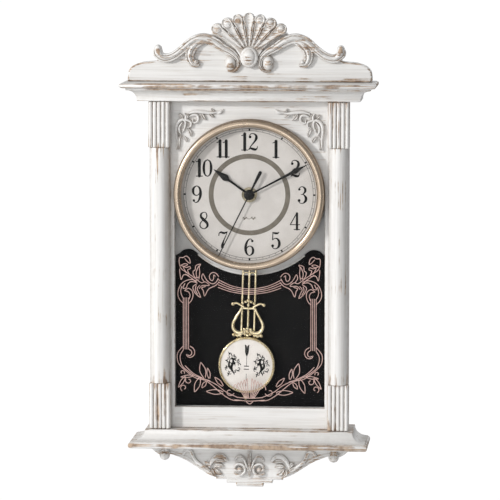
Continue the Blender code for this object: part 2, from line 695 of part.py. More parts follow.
def build_pendulum():
    pivot = bpy.data.objects.new("pendulum_pivot", None)
    CUTTERS.objects.link(pivot)
    pivot.location = (0.0, -PIVOT_DEPTH * MM, PIVOT_Z * MM)
    pivot.rotation_euler = (0.0, math.radians(REST_TILT), 0.0)

    arm = mirrored([(2.6, -26.0), (2.6, -20.0), (2.2, -3.0), (2.6, 0.0), (1.9, 1.9), (0.0, 2.6)])
    pendulum_plate("pendulum_hanger", [arm], (18.6, 21.4), WHITE_PLASTIC, pivot)
    turned("drive_magnet", disc_profile(4.0, 15.9, 18.3), (0.0, -PIVOT_DEPTH, -13.0), STEEL, 24, parent=pivot)

    rod, spacing = 0.8, 6.4
    top, bottom = -26.3, -106.0
    outer = mirrored([(0.0, top), (spacing + rod, top - 2.0), (spacing + rod, bottom)])
    slots = [[(sign * rod, top - 4.0), (sign * (spacing - rod), top - 4.0),
              (sign * (spacing - rod), bottom + 3.0), (sign * rod, bottom + 3.0)] for sign in (-1, 1)]
    pendulum_plate("pendulum_rods", [outer] + slots, (18.8, 20.4), BRASS, pivot)

    lyre_outer = mirrored([(0.0, -72.0), (5.0, -73.0), (8.0, -75.6), (12.0, -76.6), (15.0, -74.6), (17.4, -77.2),
                           (15.4, -80.2), (11.5, -79.4), (8.8, -81.4), (9.6, -85.0), (13.6, -92.0), (16.2, -98.0),
                           (15.6, -103.4), (13.8, -107.6), (0.0, -108.2)])
    lyre_inner = mirrored([(0.0, -83.0), (7.0, -83.0), (11.4, -92.0), (13.4, -98.0), (12.0, -102.6), (0.0, -104.0)])
    pendulum_plate("pendulum_lyre", [lyre_outer, lyre_inner], (20.7, 22.3), GOLD, pivot)

    bob_place = (0.0, -PIVOT_DEPTH, -BOB_DROP)
    case = [(0.0, 21.6), (26.5, 21.6), (26.9, 23.0), (27.8, 23.4), (29.0, 22.2), (BOB_R, 20.5), (28.2, 18.0),
            (22.0, 16.6), (0.0, 16.3)]
    turned("bob_case", case, bob_place, GOLD, 48, parent=pivot)
    face = [(0.0, 23.1), (10.0, 23.0), (20.0, 22.6), (26.2, 22.1), (26.2, 21.9), (0.0, 21.9)]
    turned("bob_face", face, bob_place, ENAMEL, 48, parent=pivot)
    finial_top = -BOB_DROP - BOB_R - GAP
    finial = [(0.0, finial_top), (1.3, finial_top), (1.3, finial_top - 1.0), (3.2, finial_top - 1.4),
              (3.2, finial_top - 3.6), (1.6, finial_top - 4.4), (1.8, finial_top - 5.6), (0.0, finial_top - 6.8)]
    turned("bob_finial", finial, (0.0, 0.0, 0.0), GOLD, 20, upright=True, parent=pivot)


# ---------------------------------------------------------------- build

clear_scene()
PARTS = new_collection("pendulum_wall_clock")
CUTTERS = new_collection("cutters")

build_case()
build_pillars()
build_cornice()
build_base()
build_crest()
build_apron()
build_spandrels()
build_dial()
build_hands()
build_movement_case()
build_movement_inside()
build_pendulum_drive()
build_hanger()
build_panel_screws()
build_pendulum()
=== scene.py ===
"""Looks of the pendulum wall clock: a worn white case with carvings, a printed pane and a gilt bob.

Lengths are in millimetres up to the last step. A point is (x, depth, z): depth is the distance in front of
the wall, so depth d lies at Y = -d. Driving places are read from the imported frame.
"""
import json
import math
from types import SimpleNamespace

import bmesh
import bpy
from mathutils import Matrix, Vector


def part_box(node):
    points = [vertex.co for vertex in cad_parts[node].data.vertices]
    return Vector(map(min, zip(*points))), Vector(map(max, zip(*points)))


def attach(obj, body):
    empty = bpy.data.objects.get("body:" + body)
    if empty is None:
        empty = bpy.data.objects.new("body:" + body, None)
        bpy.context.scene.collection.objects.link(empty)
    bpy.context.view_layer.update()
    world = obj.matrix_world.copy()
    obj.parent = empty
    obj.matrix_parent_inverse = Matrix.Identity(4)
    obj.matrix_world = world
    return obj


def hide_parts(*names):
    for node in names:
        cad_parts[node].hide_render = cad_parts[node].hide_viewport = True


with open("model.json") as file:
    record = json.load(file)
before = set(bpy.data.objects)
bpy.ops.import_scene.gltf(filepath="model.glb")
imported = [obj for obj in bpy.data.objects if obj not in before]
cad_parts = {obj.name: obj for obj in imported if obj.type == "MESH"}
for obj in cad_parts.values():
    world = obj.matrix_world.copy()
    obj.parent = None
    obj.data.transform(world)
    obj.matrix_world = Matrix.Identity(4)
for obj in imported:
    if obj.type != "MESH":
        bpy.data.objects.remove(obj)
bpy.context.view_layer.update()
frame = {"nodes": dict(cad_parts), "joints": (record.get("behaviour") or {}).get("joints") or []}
MM = 0.001
NODES = frame["nodes"]


def span(node):
    """The box of a CAD node: x, depth and z ranges in millimetres."""
    low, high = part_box(node)
    return SimpleNamespace(
        x0=low.x / MM, x1=high.x / MM, d0=-high.y / MM, d1=-low.y / MM, z0=low.z / MM, z1=high.z / MM,
        cx=(low.x + high.x) / 2 / MM, cz=(low.z + high.z) / 2 / MM)


BEZEL = span("bezel")
DIAL_Z = BEZEL.cz
FRONT = span("front_frame").d1
PANE = span("window_pane")
CORNICE, BASE = span("cornice_moulding"), span("base_moulding")
BOARD, APRON = span("crest_board"), span("apron_board")
JOINT_AT = {j["name"]: [c / MM for c in j["pos_m"]] for j in frame["joints"]}
PIVOT_Z = JOINT_AT["pendulum_swing"][2]
PIVOT_DEPTH = -JOINT_AT["pendulum_swing"][1]
BOB = span("bob_case")
REST_TILT = math.atan2(-BOB.cx, PIVOT_Z - BOB.cz)
BOB_DROP = math.hypot(BOB.cx, PIVOT_Z - BOB.cz)
CLOCK_ANGLES = {"hour": 305.3, "minute": 62.2, "second": 206.5}      # degrees from twelve, at rest


# ---------------------------------------------------------------- outlines

def arc(cx, cz, radius, start, end, count):
    """Points on a circle from start to end degrees, both ends included."""
    angles = [math.radians(start + (end - start) * i / (count - 1)) for i in range(count)]
    return [(cx + radius * math.cos(a), cz + radius * math.sin(a)) for a in angles]


def turns(steps):
    """Angles spread evenly over one turn, in radians."""
    return [2 * math.pi * i / steps for i in range(steps)]


def smooth(points, per_span=5):
    """Points of a Catmull-Rom curve through the given ones; extra values, such as widths, go along."""
    ends = [points[0]] + list(points) + [points[-1]]
    result = []
    for a, b, c, d in zip(ends, ends[1:], ends[2:], ends[3:]):
        for i in range(per_span):
            t = i / per_span
            result.append(tuple(
                0.5 * (2 * q + (r - p) * t + (2 * p - 5 * q + 4 * r - s) * t * t
                       + (3 * q - p - 3 * r + s) * t ** 3)
                for p, q, r, s in zip(a, b, c, d)))
    result.append(tuple(points[-1]))
    return result


def spiral(cx, cz, r0, r1, start, turn, width0, width1, count=14):
    """A spiral line from radius r0 at angle start through turn degrees to radius r1, with its half widths."""
    line = []
    for i in range(count):
        t = i / (count - 1)
        a = math.radians(start + turn * t)
        r = r0 + (r1 - r0) * t
        line.append((cx + r * math.cos(a), cz + r * math.sin(a), width0 + (width1 - width0) * t))
    return line


def flipped(line, sign):
    """The line on the other side of the clock when sign is -1."""
    return [(sign * x, *rest) for x, *rest in line]


def mirrored(half):
    """Closes a right-hand half outline with its mirror image."""
    return half + [(-x, z) for x, z in reversed(half) if abs(x) > 1e-6]


def inset(outline, distance):
    """The outline moved inwards; it runs anticlockwise."""
    result = []
    count = len(outline)
    for i in range(count):
        (ax, az), (bx, bz), (cx, cz) = outline[i - 1], outline[i], outline[(i + 1) % count]
        n1 = Vector((-(bz - az), bx - ax)).normalized()
        n2 = Vector((-(cz - bz), cx - bx)).normalized()
        mean = (n1 + n2).normalized()
        reach = distance / max(mean.dot(n1), 0.5)
        result.append((bx + mean.x * reach, bz + mean.y * reach))
    return result


def anticlockwise(outline):
    area = sum(a[0] * b[1] - b[0] * a[1] for a, b in zip(outline, outline[1:] + outline[:1]))
    return outline if area > 0 else outline[::-1]


# ---------------------------------------------------------------- sculpting

def two_sided(half, crown):
    """A section that is the same on both sides of its crown."""
    return (*half, crown, *((-across, *rest) for across, *rest in reversed(half)))


# Sections are (across from -1 to 1, height from 0 to 1, wear, grime and painted shade): the last mask darkens
# where a band meets its board and in its valleys.
FLAT = ((-1, 0, 0, 0), (-1, 1, 0, 0), (1, 1, 0, 0), (1, 0, 0, 0))
ROUND = two_sided(((-1, 0, 0, 1), (-0.97, 0.3, 0, 0.6), (-0.8, 0.66, 0.1, 0), (-0.5, 0.9, 0.4, 0)),
                  (0, 1, 0.7, 0))
REEDED = ((-1, 0, 0, 1), (-1, 0.5, 0, 0.5), (-0.88, 0.78, 0.5, 0), (-0.7, 0.8, 0.5, 0), (-0.52, 0.6, 0, 1),
          (-0.34, 0.8, 0.2, 0), (0, 1, 0.5, 0), (0.3, 0.86, 0.3, 0), (0.46, 0.62, 0, 1), (0.62, 0.78, 0.5, 0),
          (0.84, 0.72, 0.5, 0), (1, 0.42, 0, 0.5), (1, 0, 0, 1))
DISHED = two_sided(((-1, 0, 0, 1), (-1, 0.45, 0, 0.9), (-0.9, 0.86, 0.5, 0), (-0.76, 1, 0.7, 0),
                    (-0.58, 0.84, 0.1, 0.7), (-0.3, 0.62, 0.2, 0.35)), (0, 0.56, 0.3, 0.2))
VEINED = two_sided(((-1, 0, 0, 1), (-0.95, 0.4, 0.2, 0.3), (-0.6, 0.95, 0.7, 0), (-0.2, 0.75, 0.1, 0.5)),
                   (0, 0.5, 0, 1))


def fixed_place(x, depth, z):
    return Vector((x * MM, -depth * MM, z * MM))


def turned_place(angle, px, pz):
    """A place function for what is drawn upright from (px, pz) and stands turned clockwise by angle."""
    c, s = math.cos(angle), math.sin(angle)
    return lambda x, depth, z: Vector(((px + x * c + z * s) * MM, -depth * MM, (pz - x * s + z * c) * MM))


class Sculpt:
    """Collects closed shapes with two masks, wear and a mask of grime with painted shade in creases, and
    becomes one piece.
    """

    def __init__(self, place=fixed_place):
        self.place = place
        self.points, self.faces, self.wear, self.grime = [], [], [], []

    def ring(self, points, wear=0.0, grime=0.0):
        """Adds (x, depth, z[, wear, grime and shade]) points and gives their indices."""
        first = len(self.points)
        for x, depth, z, *masks in points:
            self.points.append(self.place(x, depth, z))
            self.wear.append(masks[0] if masks else wear)
            self.grime.append(masks[1] if masks else grime)
        return list(range(first, len(self.points)))

    def skin(self, rings, capped=True, looped=False):
        """Joins closed rings into a tube, with flat ends unless it is looped."""
        pairs = list(zip(rings, rings[1:])) + ([(rings[-1], rings[0])] if looped else [])
        for low, high in pairs:
            for i in range(len(low)):
                j = (i + 1) % len(low)
                self.faces.append((low[i], low[j], high[j], high[i]))
        if capped and not looped:
            self.faces.append(tuple(reversed(rings[0])))
            self.faces.append(tuple(rings[-1]))

    def band(self, line, base, height, section=ROUND, per_span=5, round_ends=True, wear=1.0, taper=0.6):
        """A carved band on a board. line is (x, z, half width); narrow stretches are lower by the taper."""
        stations = smooth(line, per_span) if per_span else list(line)
        widest = max(s[2] for s in stations)
        sized = [(x, z, max(half, 0.04), max(half, 0.04) / widest) for x, z, half in stations]
        directions = []
        for i in range(len(sized)):
            a, b = sized[max(i - 1, 0)], sized[min(i + 1, len(sized) - 1)]
            directions.append(Vector((b[0] - a[0], b[1] - a[1])).normalized())
        rows = [(*s, d) for s, d in zip(sized, directions)]
        if round_ends:
            rows = self.round_end(rows[0], -1)[::-1] + rows + self.round_end(rows[-1], 1)
        rings = []
        for x, z, half, lift, along in rows:
            tall = height * min(1.0, lift ** taper)
            rings.append(self.ring([
                (x - along.y * half * u, base + tall * h, z + along.x * half * u, w * wear, g)
                for u, h, w, g in section]))
        self.skin(rings)

    @staticmethod
    def round_end(row, sense, steps=5):
        """More rows that round off a band beyond the given end row."""
        x, z, half, lift, along = row
        result = []
        for i in range(1, steps + 1):
            a = math.radians(86.0 * i / steps)
            off = half * math.sin(a) * sense
            result.append((x + along.x * off, z + along.y * off, half * math.cos(a),
                           lift * math.cos(a) ** 0.8, along))
        return result

    def stroke(self, line, base, thickness, per_span=5):
        """A printed or painted stroke, of one thickness."""
        self.band(line, base, thickness, FLAT, per_span, taper=0.0)

    def rod(self, line, depth, per_span=5, steps=12, flat=1.0):
        """A round rod along (x, z, radius)."""
        section = [(math.cos(t), math.sin(t), 0.3, 0) for t in turns(steps)]
        stations = smooth(line, per_span) if per_span else list(line)
        rings = []
        for i, (x, z, r) in enumerate(stations):
            a, b = stations[max(i - 1, 0)], stations[min(i + 1, len(stations) - 1)]
            along = Vector((b[0] - a[0], b[1] - a[1])).normalized()
            rings.append(self.ring([
                (x - along.y * r * u, depth + r * h * flat, z + along.x * r * u, w, g)
                for u, h, w, g in section]))
        self.skin(rings)

    def lathe(self, profile, centre, steps=64, upright=False, looped=False, lobes=(0, 0.0)):
        """A turned shape. profile is (radius, height[, wear, grime and shade]); height is depth unless
        upright.
        """
        cx, cd, cz = centre
        count, swell = lobes
        rings = []
        for r, h, *masks in profile:
            row = []
            for a in turns(steps):
                reach = max(r, 0.02) * (1 + swell * math.cos(count * a))
                u, v = reach * math.cos(a), reach * math.sin(a)
                row.append((cx + u, cd + v, cz + h, *masks) if upright else (cx + u, cd + h, cz + v, *masks))
            rings.append(self.ring(row))
        self.skin(rings, looped=looped)

    def dome(self, x, z, rx, rz, base, height, steps=28, wear=0.5, power=2.0):
        """Half an ellipsoid on a board, darkened towards its foot: grime and painted shade where it meets the
        board.
        """
        rings = [self.ring([(x + rx * math.cos(t), base - 0.2, z + rz * math.sin(t), 0, 1)
                            for t in turns(steps)])]
        for level in range(8):
            rise = math.sin(math.radians(87.0 * level / 7))
            scale = (1 - rise ** power) ** (1 / power)
            rings.append(self.ring([
                (x + rx * scale * math.cos(t), base + height * rise, z + rz * scale * math.sin(t),
                 wear * rise ** 3, 1 - rise)
                for t in turns(steps)]))
        self.skin(rings)

    def ball(self, x, depth, z, radius, squash=1.0, steps=16, levels=9):
        """A ball, flattened front to back by squash."""
        rings = []
        for level in range(levels):
            a = math.radians(-88.0 + 176.0 * level / (levels - 1))
            rings.append(self.ring([
                (x + radius * math.cos(a) * math.cos(t), depth + radius * squash * math.sin(a),
                 z + radius * math.cos(a) * math.sin(t), 0.3, 0)
                for t in turns(steps)]))
        self.skin(rings)

    def board(self, outline, back, front, rounding=1.0, edge_wear=0.9, steps=3, margin=0.9, grime=0.0):
        """A flat board with a rounded front edge; the margin is where the edge's wear has faded out."""
        outline = anticlockwise(outline)

        def loop(distance, depth, wear, grime=0.0):
            return self.ring([(x, depth, z) for x, z in inset(outline, distance)], wear, grime)

        rings = [loop(0.0, back, 0.1), loop(0.0, front - rounding, 0.35)]
        for i in range(1, steps + 1):
            a = math.pi / 2 * i / steps
            rings.append(loop(rounding * (1 - math.cos(a)), front - rounding * (1 - math.sin(a)), edge_wear))
        rings.append(loop(rounding + margin, front, 0.0, grime))
        self.skin(rings)

    def piece(self, name, material, body="case", slot=None, replaces=(), sharp=38.0):
        """Makes the object, puts it on its body and hides the CAD nodes it stands for; slot is not used."""
        mesh = bpy.data.meshes.new(name)
        mesh.from_pydata(self.points, [], self.faces)
        for label, values in (("wear", self.wear), ("grime", self.grime)):
            mask = mesh.attributes.new(label, "FLOAT", "POINT")
            mask.data.foreach_set("value", values)
        bm = bmesh.new()
        bm.from_mesh(mesh)
        bmesh.ops.recalc_face_normals(bm, faces=bm.faces)
        bm.to_mesh(mesh)
        bm.free()
        mesh.shade_smooth()
        mesh.set_sharp_from_angle(angle=math.radians(sharp))
        mesh.materials.append(material)
        obj = bpy.data.objects.new(name, mesh)
        bpy.context.scene.collection.objects.link(obj)
        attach(obj, body)
        if replaces:
            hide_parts(*replaces)
        return obj


# ---------------------------------------------------------------- materials

def add(tree, kind, inputs=None, **settings):
    """Adds a shader node. inputs maps socket names or numbers to values or other nodes' outputs."""
    made = tree.nodes.new("ShaderNode" + kind)
    for key, value in settings.items():
        setattr(made, key, value)
    for socket, value in (inputs or {}).items():
        if isinstance(value, bpy.types.NodeSocket):
            tree.links.new(value, made.inputs[socket])
        else:
            made.inputs[socket].default_value = value
    return made


def math_of(tree, operation, a, b=0.0, clamp=False):
    return add(tree, "Math", {0: a, 1: b}, operation=operation, use_clamp=clamp).outputs[0]


def mix(tree, factor, a, b):
    return add(tree, "Mix", {0: factor, 6: a, 7: b}, data_type="RGBA").outputs[2]


def step_up(tree, value, low, high, to_low=0.0, to_high=1.0):
    inputs = {"Value": value, "From Min": low, "From Max": high, "To Min": to_low, "To Max": to_high}
    return add(tree, "MapRange", inputs, interpolation_type="SMOOTHSTEP").outputs[0]


def noise(tree, place, per_metre, detail=3.0, rough=0.55):
    """Noise whose features come per_metre times along each axis."""
    scaled = add(tree, "Mapping", {"Vector": place, "Scale": per_metre}).outputs[0]
    inputs = {"Vector": scaled, "Scale": 1.0, "Detail": detail, "Roughness": rough}
    return add(tree, "TexNoise", inputs).outputs[0]


STILE_EDGE = (75.6 * MM, 76.4 * MM)          # where the frame's grain turns from level to upright


def grain_noise(tree, place, grain, gain, rough):
    """Streaks along the grain. Grain along x turns back on the ends; the frame's stiles have it upright."""

    def along(axis):
        return noise(tree, place, [s * gain for s in ALONG[axis]], 4.0, rough)

    if grain == "z":
        return along("z")
    if grain == "frame":
        x = math_of(tree, "ABSOLUTE", add(tree, "SeparateXYZ", {0: place}).outputs[0])
        return mix(tree, step_up(tree, x, *STILE_EDGE), along("x"), along("z"))
    normal = add(tree, "NewGeometry").outputs["Normal"]
    end = math_of(tree, "ABSOLUTE", add(tree, "SeparateXYZ", {0: normal}).outputs[0])
    return mix(tree, step_up(tree, end, 0.6, 0.85), along("x"), along("y"))


def mask(tree, name):
    return add(tree, "Attribute", attribute_name=name).outputs["Fac"]


def start(name, metallic=0.0, **sockets):
    """A new material: its tree, its Principled shader and object coordinates."""
    material = bpy.data.materials.new(name)
    material.use_nodes = True
    tree = material.node_tree
    shader = tree.nodes["Principled BSDF"]
    shader.inputs["Metallic"].default_value = metallic
    for socket, value in sockets.items():
        shader.inputs[socket.replace("_", " ")].default_value = value
    return material, tree, shader, add(tree, "TexCoord").outputs["Object"]


def finish_surface(tree, shader, colour, roughness, height, bump_mm, strength=0.5):
    tree.links.new(colour, shader.inputs["Base Color"])
    tree.links.new(roughness, shader.inputs["Roughness"])
    inputs = {"Height": height, "Strength": strength, "Distance": bump_mm * MM}
    tree.links.new(add(tree, "Bump", inputs).outputs[0], shader.inputs["Normal"])


def rgb(r, g, b):
    return (r, g, b, 1.0)


PAINT_LIGHT, PAINT_SHADE = rgb(0.81, 0.805, 0.795), rgb(0.69, 0.68, 0.665)
# The glaze colour is both a real brown glaze and painted shade in the hollows.
GLAZE_AND_SHADE, WOOD_LIGHT, WOOD_DARK = rgb(0.30, 0.235, 0.175), rgb(0.48, 0.345, 0.235), rgb(0.20, 0.12, 0.07)
ALONG = {"x": (18.0, 700.0, 700.0), "y": (700.0, 18.0, 700.0), "z": (700.0, 700.0, 18.0)}


def worn_paint(name, grain="x", wear_gain=1.0, edge_gain=1.0, glaze_and_shade_gain=1.0, base_wear=0.0):
    """White paint brushed along the grain, rubbed to the wood on ridges, and glazed in the hollows, where the
    glaze also paints the hollows' shade.
    """
    material, tree, shader, place = start(name)
    streak = grain_noise(tree, place, grain, 1.0, 0.6)
    long_streak = grain_noise(tree, place, grain, 0.4, 0.6)
    patch = noise(tree, place, (34.0, 34.0, 34.0), 3.0, 0.6)
    blot = noise(tree, place, (150.0, 150.0, 150.0), 3.0, 0.65)
    normal = add(tree, "NewGeometry").outputs["Normal"]
    rounded = add(tree, "Bevel", {"Radius": 1.1 * MM}, samples=6).outputs[0]
    turn = add(tree, "VectorMath", {0: rounded, 1: normal}, operation="DOT_PRODUCT").outputs["Value"]
    edge = math_of(tree, "MULTIPLY", step_up(tree, turn, 0.995, 0.86), edge_gain)
    ridge = math_of(tree, "ADD", math_of(tree, "MULTIPLY", mask(tree, "wear"), wear_gain), edge)
    ridge = math_of(tree, "MINIMUM", math_of(tree, "ADD", ridge, base_wear), 1.0)
    rubbed = math_of(tree, "MULTIPLY", ridge, 0.44)
    for pattern, share in ((streak, 0.42), (long_streak, 0.34), (patch, 0.34)):
        sharp = step_up(tree, pattern, 0.34, 0.66)
        rubbed = math_of(tree, "ADD", rubbed, math_of(tree, "MULTIPLY", sharp, share))
    bare = step_up(tree, rubbed, 0.86, 1.04)

    # Darker in the hollows: real glaze and painted shade, from ambient occlusion and the grime and shade
    # mask, in creases, recesses and at the feet of carvings.
    open_sky = add(tree, "AmbientOcclusion", {"Distance": 5.0 * MM}, samples=6).outputs["AO"]
    hollow = math_of(tree, "MULTIPLY", step_up(tree, open_sky, 0.72, 0.25), 0.8)
    hollow = math_of(tree, "ADD", hollow, math_of(tree, "MULTIPLY", mask(tree, "grime"), 0.75), clamp=True)
    hollow = math_of(tree, "MULTIPLY", hollow, step_up(tree, blot, 0.30, 0.62, 0.35, 1.0))
    hollow = math_of(tree, "MULTIPLY", hollow, 0.72 * glaze_and_shade_gain, clamp=True)

    white = mix(tree, step_up(tree, long_streak, 0.35, 0.72), PAINT_LIGHT, PAINT_SHADE)
    white = mix(tree, step_up(tree, streak, 0.52, 0.70, 0.0, 0.5), white, rgb(0.60, 0.56, 0.51))
    wood = mix(tree, step_up(tree, blot, 0.35, 0.68), WOOD_LIGHT, WOOD_DARK)
    colour = mix(tree, hollow, white, GLAZE_AND_SHADE)
    colour = mix(tree, math_of(tree, "MULTIPLY", bare, 0.9), colour, wood)
    roughness = math_of(tree, "ADD", step_up(tree, streak, 0.3, 0.7, 0.42, 0.58),
                        math_of(tree, "MULTIPLY", bare, 0.2))
    height = math_of(tree, "SUBTRACT", math_of(tree, "MULTIPLY", streak, 0.8),
                     math_of(tree, "MULTIPLY", bare, 0.6))
    finish_surface(tree, shader, colour, roughness, height, 0.25, 0.45)
    return material


def varied(name, light, dark, per_metre, rough, metallic=0.0, bump_mm=0.05, grime=None, **sockets):
    """A plain finish with its own mottle, uneven gloss, fine relief, and tarnish where the mask says."""
    material, tree, shader, place = start(name, metallic, **sockets)
    scale = per_metre if isinstance(per_metre, tuple) else (per_metre,) * 3
    mottle = noise(tree, place, scale, 3.0, 0.6)
    fine = noise(tree, place, [s * 6.0 for s in scale], 2.0, 0.5)
    colour = mix(tree, step_up(tree, mottle, 0.3, 0.7), light, dark)
    if grime:
        hollow = math_of(tree, "MULTIPLY", mask(tree, "grime"), step_up(tree, fine, 0.2, 0.7, 0.5, 1.0))
        colour = mix(tree, hollow, colour, grime)
    roughness = step_up(tree, mottle, 0.3, 0.7, *rough)
    finish_surface(tree, shader, colour, roughness, fine, bump_mm)
    return material


def clear(name, per_metre, alpha):
    """Thin clear plastic: almost all see-through, with a faint uneven gloss."""
    material, tree, shader, place = start(name, Alpha=alpha, Specular_IOR_Level=0.3)
    haze = noise(tree, place, (per_metre,) * 3, 2.0)
    colour = mix(tree, haze, rgb(0.018, 0.02, 0.022), rgb(0.035, 0.038, 0.04))
    finish_surface(tree, shader, colour, step_up(tree, haze, 0.3, 0.7, 0.10, 0.16), haze, 0.005, 0.1)
    return material


def back_panel_finish():
    """Hardboard: pressed brown fibre behind, white paint on the side that shows through the window."""
    material, tree, shader, place = start("hardboard")
    fibre = noise(tree, place, (900.0, 300.0, 1400.0), 4.0, 0.7)
    cloud = noise(tree, place, (25.0, 25.0, 25.0), 3.0)
    brown = mix(tree, step_up(tree, fibre, 0.3, 0.7), rgb(0.30, 0.19, 0.11), rgb(0.16, 0.095, 0.055))
    brown = mix(tree, step_up(tree, cloud, 0.4, 0.7, 0.0, 0.4), brown, rgb(0.36, 0.25, 0.16))
    white = mix(tree, step_up(tree, cloud, 0.3, 0.7), PAINT_LIGHT, PAINT_SHADE)
    facing = add(tree, "SeparateXYZ", {0: add(tree, "NewGeometry").outputs["True Normal"]}).outputs[1]
    colour = mix(tree, step_up(tree, facing, -0.4, -0.6), brown, white)
    finish_surface(tree, shader, colour, step_up(tree, fibre, 0.3, 0.7, 0.6, 0.8), fibre, 0.08)
    return material


def battery_print_finish():
    """The battery's printed jacket: two plain bands of colour with a worn edge, and no words."""
    material, tree, shader, place = start("battery_jacket_print", 0.35)
    along = add(tree, "SeparateXYZ", {0: place}).outputs[0]
    wobble = noise(tree, place, (200.0, 200.0, 200.0), 3.0)
    edge = math_of(tree, "ADD", along, math_of(tree, "MULTIPLY", wobble, 0.4 * MM))
    colour = mix(tree, step_up(tree, edge, 8.0 * MM, 8.3 * MM), rgb(0.03, 0.03, 0.035), rgb(0.55, 0.36, 0.12))
    colour = mix(tree, step_up(tree, wobble, 0.55, 0.8, 0.0, 0.3), colour, rgb(0.25, 0.25, 0.25))
    finish_surface(tree, shader, colour, step_up(tree, wobble, 0.3, 0.7, 0.25, 0.4), wobble, 0.02)
    return material


WHITE_X = worn_paint("white_paint_along_x", "x")
WHITE_Z = worn_paint("white_paint_along_z", "z")
FRAME_WHITE = worn_paint("white_paint_frame", "frame", base_wear=-0.12)
MOULDED = worn_paint("white_paint_mouldings", "x", wear_gain=1.25)
# The flutes' glaze is raised, which also paints the shade in the reed valleys.
FLUTED = worn_paint("white_paint_flutes", "z", wear_gain=0.9, glaze_and_shade_gain=1.15)
CARVED = worn_paint("white_paint_carving", "x", wear_gain=1.3, edge_gain=0.45, glaze_and_shade_gain=1.0)
# The low relief's glaze is raised so that it paints the shade round the spandrels' scrolls and leaves.
LACE = worn_paint("white_paint_low_relief", "x", wear_gain=0.1, edge_gain=0.1, glaze_and_shade_gain=1.15,
                  base_wear=-0.2)
HARDBOARD = back_panel_finish()
BLACK = varied("black_card", rgb(0.004, 0.004, 0.0045), rgb(0.008, 0.0075, 0.0075), 40.0, (0.5, 0.7),
               bump_mm=0.002, Specular_IOR_Level=0.05)
CLEAR_PANE = clear("clear_pane", 30.0, 0.03)
CLEAR_LENS = clear("clear_lens", 45.0, 0.045)
COPPER_PRINT = varied("copper_print", rgb(0.62, 0.43, 0.385), rgb(0.46, 0.30, 0.265), 260.0, (0.4, 0.55))
DIAL_CARD = varied("dial_card", rgb(0.73, 0.695, 0.66), rgb(0.67, 0.635, 0.60), 70.0, (0.5, 0.65),
                   bump_mm=0.02)
DIAL_RING = varied("dial_ring_print", rgb(0.20, 0.175, 0.14), rgb(0.16, 0.14, 0.11), 120.0, (0.5, 0.6),
                   bump_mm=0.01)
DIAL_INK = varied("dial_ink", rgb(0.006, 0.006, 0.006), rgb(0.014, 0.013, 0.012), 300.0, (0.5, 0.65),
                  bump_mm=0.01, Specular_IOR_Level=0.2)
ANTIQUE_GOLD = varied("antique_gold", rgb(0.56, 0.455, 0.35), rgb(0.47, 0.375, 0.285), (22.0, 22.0, 22.0),
                      (0.24, 0.32), 0.9, bump_mm=0.004, grime=rgb(0.16, 0.12, 0.09))
BRASS = varied("polished_brass", rgb(0.80, 0.695, 0.47), rgb(0.56, 0.46, 0.275), 160.0, (0.14, 0.24), 0.95,
               bump_mm=0.008, grime=rgb(0.14, 0.10, 0.04))
NUT_BRASS = varied("darkened_brass", rgb(0.30, 0.26, 0.18), rgb(0.17, 0.15, 0.10), 120.0, (0.3, 0.4), 0.8)
ENAMEL = varied("bob_enamel", rgb(0.84, 0.795, 0.745), rgb(0.77, 0.72, 0.67), 90.0, (0.10, 0.18),
                bump_mm=0.01)
BLACK_HANDS = varied("black_hands", rgb(0.006, 0.006, 0.006), rgb(0.014, 0.014, 0.013), 400.0, (0.35, 0.5),
                     bump_mm=0.01, Specular_IOR_Level=0.2)
STEEL = varied("zinc_steel", rgb(0.62, 0.62, 0.61), rgb(0.42, 0.42, 0.41), 240.0, (0.28, 0.45), 0.9,
               grime=rgb(0.08, 0.075, 0.07))
BLACK_PLASTIC = varied("black_plastic", rgb(0.022, 0.022, 0.023), rgb(0.035, 0.034, 0.034), 500.0,
                       (0.45, 0.6))
WHITE_PLASTIC = varied("white_plastic", rgb(0.78, 0.78, 0.75), rgb(0.70, 0.70, 0.67), 300.0, (0.35, 0.5))
LAMINATE = varied("circuit_laminate", rgb(0.03, 0.17, 0.07), rgb(0.02, 0.11, 0.05), 400.0, (0.3, 0.5))
COPPER = varied("copper_wire", rgb(0.72, 0.34, 0.18), rgb(0.45, 0.19, 0.09), (4000.0, 400.0, 400.0),
                (0.25, 0.4), 0.9, bump_mm=0.1)
JACKET = battery_print_finish()

CAD_FINISHES = {
    "front_frame": FRAME_WHITE, "side_rail_left": WHITE_Z, "side_rail_right": WHITE_Z, "top_rail": WHITE_X,
    "bottom_rail": WHITE_X, "back_panel": HARDBOARD, "backdrop_sheet": BLACK, "window_pane": CLEAR_PANE,
    "lens": CLEAR_LENS, "dial_plate": DIAL_CARD, "dial_nut": NUT_BRASS, "threaded_post": BRASS,
    "hour_tube": BRASS, "minute_arbor": STEEL, "second_arbor": STEEL, "movement_case": BLACK_PLASTIC,
    "movement_cover": BLACK_PLASTIC, "circuit_board": LAMINATE, "stepper_coil": COPPER,
    "pendulum_drive_case": BLACK_PLASTIC, "pendulum_coil": COPPER, "hanger_plate": STEEL,
    "pendulum_hanger": WHITE_PLASTIC, "drive_magnet": STEEL,
}


def finish_cad_nodes():
    for name, material in CAD_FINISHES.items():
        mesh = NODES[name].data
        mesh.materials.clear()
        mesh.materials.append(material)


# ---------------------------------------------------------------- case: mouldings and pillars

CARVING_BACK = FRONT + 0.3           # carvings stand clear of the boards they are glued to
SIDES = {"left": -1, "right": 1}


